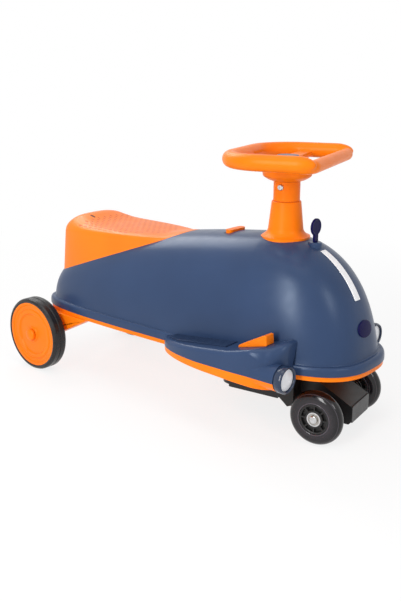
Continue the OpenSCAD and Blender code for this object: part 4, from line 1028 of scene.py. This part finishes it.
class CAR_OT_rests(bpy.types.Operator):
    """Builds both foot rests, their bases and the headlamps in them"""

    bl_idname = "car.rests"
    bl_label = "Build foot rests"

    STATIONS, ROUND, HOLE_ROUND, GLASS_POINTS = 96, 96, 64, 11
    SHARP, LAMP_SHARP = 38, 50  # degrees from which an edge stays hard
    PLAY, INSIDE, AHEAD = 0.0003, 0.001, 0.02  # of the glass, the lamp's hole and its cutter
    SOCKET, GLASS_FOOT, GLASS_EDGE, GLASS_RISE = -0.0085, -0.0080, -0.0036, 0.0021

    def lay(self, obj, r, b, sign):
        """Turns a lathe's axis along the car, with its origin at the headlamp's face."""
        place = Matrix.Translation((b.steer_x + r.lamp_x, sign * r.lamp_y, r.lamp_z))
        obj.data.transform(place @ turned_by(90, "Y"))
        return obj

    def lamp(self, r, b, side, sign):
        """The headlamp's housing with its rounded rim, and its glass."""
        rad, lip, d, end = r.bezel_r, r.glass_r + self.PLAY, r.rim_d, -r.lamp_len + self.INSIDE
        rim = [(lip, -0.0034), (lip + 0.0002, -0.0012), (lip + 0.0010, -0.0002)]
        rim += [(lip + 0.0022, 0.0), (rad - 0.0008, -0.0008), (rad + 0.0001, -0.0022)]
        rim += [(rad + 0.0004, -0.0042), (rad + 0.0001, -d + 0.0016), (rad - 0.0008, -d + 0.0004)]
        rim += [(rad - 0.0014, -d), (rad - 0.0014, end), (0, end)]
        bowl = [(0, self.SOCKET), (lip, self.SOCKET)]
        made = self.lay(lathe(f"lamp_housing_{side}", bowl + rim, self.ROUND), r, b, sign)
        piece(made, self.LAMP_SHARP, "car", "navy_plastic", "bezel", f"lamp_bezel_{side}")
        dome = [(0, self.GLASS_FOOT), (r.glass_r, self.GLASS_FOOT)]
        for v in quarter(self.GLASS_POINTS):
            dome.append((r.glass_r * math.cos(v), self.GLASS_EDGE + self.GLASS_RISE * math.sin(v)))
        glass = self.lay(lathe(f"lamp_glass_{side}", dome, self.ROUND), r, b, sign)
        piece(glass, self.LAMP_SHARP, "car", "lens_plastic", "lens", f"lamp_lens_{side}")

    def execute(self, context):
        b, r = context.scene.car_body, context.scene.car_rest
        rest = Rest(r, Dome(b))
        kinds = (
            ("cover", "", rest.cover_section, "navy"),
            ("base", "base_", rest.base_section, "orange"),
        )
        for side, sign in SIDES:
            for kind, stem, section, material in kinds:
                rings = [section(x) for x in rest.stations(self.STATIONS)]
                made = loft(f"rest_{kind}_{side}", rings, FLAT, FLAT, b.steer_x)
                rad, end = r.bezel_r - self.INSIDE, -r.lamp_len
                hole = drill("cut_lamp", rad, end, self.AHEAD, self.HOLE_ROUND)
                cut(made, self.lay(hole, r, b, 1.0))
                made.data.transform(Matrix.Diagonal((1.0, sign, 1.0, 1.0)))
                node = f"footrest_{stem}{side}"
                piece(outward(made), self.SHARP, "car", f"{material}_plastic", material, node)
            self.lamp(r, b, side, sign)
        return {"FINISHED"}


class CAR_OT_ring(bpy.types.Operator):
    """Builds the steering wheel, its spokes blended into hub and ring"""

    bl_idname = "car.ring"
    bl_label = "Build steering wheel"

    ROUND, HUB_ROUND, CORNER_POINTS, NOSE_POINTS = 32, 96, 25, 17
    SPOKE_IN = 0.014  # reach of the spokes into the hub
    EASE, PASSES = 0.5, 5  # smoothing of the blended cells

    def path(self, r):
        """The ring's middle line seen from above, corner by corner."""
        front, back = (r.front - r.r_front, r.r_front), (r.r_back - r.back, r.r_back)
        line = []
        for k, ((x, rad), side) in enumerate(((front, 1), (back, 1), (back, -1), (front, -1))):
            a = np.radians(90 * k + np.linspace(0, 90, self.CORNER_POINTS))
            y = side * (r.half - rad)
            line.append(np.stack([x + rad * np.cos(a), y + rad * np.sin(a)], 1))
        return np.concatenate(line)

    def tube(self, r):
        p = self.path(r)
        run = np.roll(p, -1, 0) - np.roll(p, 1, 0)
        run /= np.linalg.norm(run, axis=1)[:, None]
        points = []
        for (x, y), (dx, dy) in zip(p, run):
            q = 1.0 if x > r.front - r.r_front else 0.0
            tube, z = r.grip + (r.bar - r.grip) * q, r.z - r.bar_drop * q
            for a in full_turn(self.ROUND):
                c = tube * math.cos(a)
                points.append((x + dy * c, y - dx * c, z + tube * math.sin(a)))
        return solid("ring_tube", points, quads(len(p), self.ROUND))

    def hub(self, r):
        z0, z1, rad = r.hub_z0, r.hub_z1, r.hub_r
        bowl = [(0, z0), (r.stem_r, z0), (rad - 0.009, z0 + 0.003), (rad - 0.001, z0 + 0.008)]
        bowl += [(rad, z0 + 0.016), (rad - 0.003, z1 - 0.009), (r.cap_r + 0.004, z1), (0, z1)]
        return lathe("ring_hub", bowl, self.HUB_ROUND)

    def grip(self, r, sign):
        end = [(0, -r.grip_len), (r.grip, -r.grip_len)]
        for v in quarter(self.NOSE_POINTS):
            end.append((r.grip * math.cos(v), r.cap_len * (math.sin(v) - 1)))
        made = lathe("ring_grip", end, self.ROUND)
        place = Matrix.Translation((r.cap_x, sign * r.half, r.z))
        made.data.transform(place @ turned_by(90, "Y"))
        return made

    def spoke(self, r, turn, reach):
        low = (r.hub_r - self.SPOKE_IN, -r.spoke_w / 2, r.hub_z1 - r.spoke_t)
        made = box_object("ring_spoke", low, (reach, r.spoke_w / 2, r.hub_z1))
        for v in made.data.vertices:
            if v.co.x > r.hub_r:
                v.co.y *= r.spoke_end
        made.data.transform(turned_by(turn, "Z"))
        return made

    def execute(self, context):
        b, r = context.scene.car_body, context.scene.car_ring
        parts = [self.tube(r), self.hub(r)] + [self.grip(r, sign) for _, sign in SIDES]
        for turn, reach in ((90, r.half), (180, r.back), (270, r.half)):
            parts.append(self.spoke(r, turn, reach))
        wheel = join_points(parts, "steering_ring")
        blend = wheel.modifiers.new("Blend", "REMESH")
        blend.mode, blend.voxel_size = "VOXEL", r.cell
        ease = wheel.modifiers.new("Ease", "SMOOTH")
        ease.factor, ease.iterations = self.EASE, self.PASSES
        bake(wheel)
        place = Matrix.Translation((b.steer_x, 0, 0)) @ turned_by(r.rest_turn, "Z")
        wheel.data.transform(place)
        piece(wheel, None, "steering", "orange_plastic", "orange", "steering_wheel")
        return {"FINISHED"}


class CAR_OT_wheels(bpy.types.Operator):
    """Builds the smoky front tyres and their pocketed cores"""

    bl_idname = "car.wheels"
    bl_label = "Build front wheels"

    TYRE_ROUND, CORE_ROUND, TREAD_POINTS = 128, 96, 33
    SHARP = 40  # degrees from which an edge stays hard
    WALL_IN, WALL_DOWN = 0.002, 0.0026  # of the pockets' walls into the rims and below the face

    def both_faces(self, face, tread=()):
        """A closed loop: the upper face, the tread and the same face below."""
        return [*face, *tread, *((r, -z) for r, z in face[::-1])]

    def tyre(self, w):
        h, c = w.width / 2, w.core
        face = [(c, h - 0.0020), (c + 0.0004, h - 0.0012), (c + 0.0012, h - 0.0008)]
        face += [(c + 0.0020, h - 0.0011), (c + 0.0028, h - 0.0013), (c + 0.0045, h - 0.0006)]
        angles = np.radians(np.linspace(90, -90, self.TREAD_POINTS))
        tread = [(w.radius - h + h * math.cos(a), h * math.sin(a)) for a in angles]
        return hoop("tyre", self.both_faces(face, tread), self.TYRE_ROUND)

    def core(self, w):
        h, c, k = w.width / 2, w.core, w.bore
        face = [(k, h - 0.0016), (k + 0.0026, h - 0.0016), (k + 0.0032, h - 0.0022)]
        face += [(k + 0.0036, h - 0.0070), (c - 0.0034, h - 0.0070), (c - 0.0028, h - 0.0024)]
        face += [(c - 0.0022, h - 0.0019), (c - 0.0001, h - 0.0019)]
        parts = [hoop("core", self.both_faces(face), self.CORE_ROUND)]
        for turn in np.linspace(0, 360, w.pockets, endpoint=False):
            low = (k + self.WALL_IN, -w.web / 2, self.WALL_DOWN - h)
            high = (c - self.WALL_IN, w.web / 2, h - self.WALL_DOWN)
            wall = box_object("core_wall", low, high)
            wall.data.transform(turned_by(turn, "Z"))
            parts.append(wall)
        return join_points(parts, "core")

    def execute(self, context):
        w = context.scene.car_wheel
        for side, sign in SIDES:
            low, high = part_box(f"front_tyre_{side}")
            place = Matrix.Translation((low + high) / 2) @ turned_by(w.rest_turn, "Z")
            place = place @ turned_by(-90 * sign, "X")
            body = f"front_wheel_{side}"
            for made, kind, slot, material in (
                (self.tyre(w), "tyre", "front_urethane", "smoke"),
                (self.core(w), "core", "black_plastic", "black"),
            ):
                made.name = f"front_{kind}_made_{side}"
                made.data.transform(place)
                piece(made, self.SHARP, body, slot, material, f"front_{kind}_{side}")
        return {"FINISHED"}


class CAR_OT_fittings(bpy.types.Operator):
    """Rounds and paints the CAD pieces that stay in view"""

    bl_idname = "car.fittings"
    bl_label = "Finish fittings"

    # A name that ends in an underscore stands for the pieces on both sides.
    SOFT = (
        (0.0016, 3, "toe_wedge_ yoke"),
        (0.0015, 2, "axle_bracket_"),
        (0.0007, 2, "yoke_cover key push_button"),
        (0.0004, 2, "foot_mat_"),
        (0.0003, 2, "base_tray light_strip front_badge"),
    )
    PAINT = (
        ("navy", "navy_plastic", "key_switch hub_cap"),
        ("mat", "navy_plastic", "foot_mat_"),
        ("orange", "orange_plastic", "toe_wedge_ axle_bracket_ axle_cap_ rear_disc_"),
        ("orange", "orange_plastic", "base_tray steering_collar stem push_button"),
        ("black", "black_plastic", "axle_spacer_ yoke yoke_cover sound_module button_housing"),
        ("rubber", "rear_rubber", "rear_tyre_"),
        ("bearing", "steel", "bearing_outer_ bearing_inner_ front_axle"),
        ("steel", "steel", "rear_axle stem_bolt stem_nut steering_shaft"),
        ("steel", "steel", "yoke_pin thrust_washer bearing_tube_ base_screws"),
        ("bush", "bush_plastic", "upper_bush lower_bush"),
        ("strip", "lens_plastic", "light_strip"),
        ("badge", "navy_plastic", "front_badge key"),
    )

    def nodes(self, names):
        for name in names.split():
            yield from [name + s for s, _ in SIDES] if name.endswith("_") else [name]

    def execute(self, context):
        for width, segments, names in self.SOFT:
            for n in self.nodes(names):
                soften(n, width, segments)
        for material, slot, names in self.PAINT:
            for n in self.nodes(names):
                dress(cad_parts[n], material, slot)
        return {"FINISHED"}


class CAR_OT_stage(bpy.types.Operator):
    """Sets up the floor, the lights and the camera"""

    bl_idname = "car.stage"
    bl_label = "Set up studio"

    CELLS, REACH, FLOOR_Z = 24, 6.0, -0.0004  # of the floor
    WHITE_FROM, WHITE_TO = 0.5, 1.5  # distances over which the floor goes to plain white
    SENSOR = 36.0
    MIDDLE = (0.1, 0, 0.2)  # at which the lights are aimed

    def light(self, name, place, size, power):
        data = bpy.data.lights.new(name, "AREA")
        data.shape, data.size, data.size_y, data.energy = "RECTANGLE", size[0], size[1], power
        obj = bpy.data.objects.new(name, data)
        bpy.context.scene.collection.objects.link(obj)
        obj.location = place
        way = Vector(self.MIDDLE) - Vector(place)
        obj.rotation_euler = way.to_track_quat("-Z", "Y").to_euler()

    def floor(self, tone, glow):
        n = self.CELLS + 1
        k = np.linspace(-self.REACH, self.REACH, n)
        points = [(x, y, self.FLOOR_Z) for y in k for x in k]
        obj = mesh_object("studio_floor", points, quads(n, n, ends=False, sides=False))
        f = Finish("Studio floor")
        cloud = f.noise(3.0, 2.0)
        col = cloud.between(0.2, 0.8).tint(rgba(tone, 0.995), rgba(tone, 1.005))
        f.done(col, cloud.between(0.2, 0.8, 0.85, 0.9), shine=0.2)
        white = f.place.make("ShaderNodeEmission", [("Color", (1, 1, 1, 1)), ("Strength", 1.0)])
        lit = Val(f.tree, f.shader.outputs[0])
        far = f.place.make("ShaderNodeVectorMath", [(0, f.place)], out=1, operation="LENGTH")
        share = self.seen(f.tree) * far.between(self.WHITE_FROM, self.WHITE_TO, glow, 1.0)
        mixed = f.place.make("ShaderNodeMixShader", [(0, share), (1, lit), (2, white)])
        out = next(n for n in f.tree.nodes if n.type == "OUTPUT_MATERIAL")
        f.tree.links.new(mixed.socket, out.inputs["Surface"])
        obj.data.materials.append(f.material)

    def seen(self, tree):
        """One for the rays that show the background: straight, mirrored or through glass."""
        path = tree.nodes.new("ShaderNodeLightPath").outputs
        kinds = ("Camera", "Glossy", "Transmission")
        camera, glossy, through = (Val(tree, path[f"Is {k} Ray"]) for k in kinds)
        return camera.math("MAXIMUM", glossy).math("MAXIMUM", through)

    def world(self, strength):
        w = bpy.data.worlds.new("Studio")
        bpy.context.scene.world = w
        w.use_nodes = True
        tree = w.node_tree
        back = next(n for n in tree.nodes if n.type == "BACKGROUND")
        level = self.seen(tree) * (1.0 - strength) + strength
        back.inputs["Color"].default_value = (1, 1, 1, 1)
        tree.links.new(level.socket, back.inputs["Strength"])

    def camera(self, scene, st, steer_x):
        a, e = math.radians(st.azimuth), math.radians(st.elevation)
        right = Vector((math.cos(a), math.sin(a), 0))
        back = Vector((math.sin(a) * math.cos(e), -math.cos(a) * math.cos(e), math.sin(e)))
        aim = Vector((steer_x, 0, st.aim_z)) + right * st.shift_right
        data = bpy.data.cameras.new("Camera")
        data.lens, data.sensor_width = st.lens, self.SENSOR
        cam = bpy.data.objects.new("Camera", data)
        scene.collection.objects.link(cam)
        cam.location = aim + back * st.distance
        cam.rotation_euler = back.to_track_quat("Z", "Y").to_euler()
        scene.camera = cam

    def execute(self, context):
        scene, st = context.scene, context.scene.car_stage
        scene.view_settings.view_transform = "Standard"
        self.floor(st.floor, st.glow)
        self.world(st.sky)
        self.camera(scene, st, scene.car_body.steer_x)
        self.light("Key", (0.32, -1.75, 1.0), (0.42, 1.2), st.key_power)
        self.light("Rear", (-1.3, 0.4, 1.5), (1.0, 0.8), st.rear_power)
        self.light("Nose", (1.7, -0.35, 1.2), (0.35, 0.6), st.nose_power)
        self.light("Top", (0.1, -0.5, 2.0), (1.4, 0.8), st.top_power)
        return {"FINISHED"}


class CAR_PT_panel(bpy.types.Panel):
    """Sizes, colours and build steps of the car"""

    bl_idname = "CAR_PT_panel"
    bl_label = "Wiggle car"
    bl_space_type = "VIEW_3D"
    bl_region_type = "UI"
    bl_category = "Wiggle car"

    def draw(self, context):
        for op in OPERATORS:
            self.layout.operator(op.bl_idname)
        for attr, group in GROUPS.items():
            part = self.layout.box()
            part.label(text=group.__doc__)
            for name in group.__annotations__:
                part.prop(getattr(context.scene, attr), name)


OPERATORS = (CAR_OT_finishes, CAR_OT_body, CAR_OT_seat, CAR_OT_rests)
OPERATORS += (CAR_OT_ring, CAR_OT_wheels, CAR_OT_fittings, CAR_OT_stage)


def register():
    for attr, group in GROUPS.items():
        bpy.utils.register_class(group)
        setattr(bpy.types.Scene, attr, bpy.props.PointerProperty(type=group))
    for cls in (*OPERATORS, CAR_PT_panel):
        bpy.utils.register_class(cls)


def unregister():
    for cls in (CAR_PT_panel, *reversed(OPERATORS)):
        bpy.utils.unregister_class(cls)
    for attr, group in reversed(GROUPS.items()):
        delattr(bpy.types.Scene, attr)
        bpy.utils.unregister_class(group)


def main():
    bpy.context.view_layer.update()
    register()
    for op in OPERATORS:
        group, name = op.bl_idname.split(".")
        getattr(getattr(bpy.ops, group), name)()


if __name__ == "__main__":
    main()
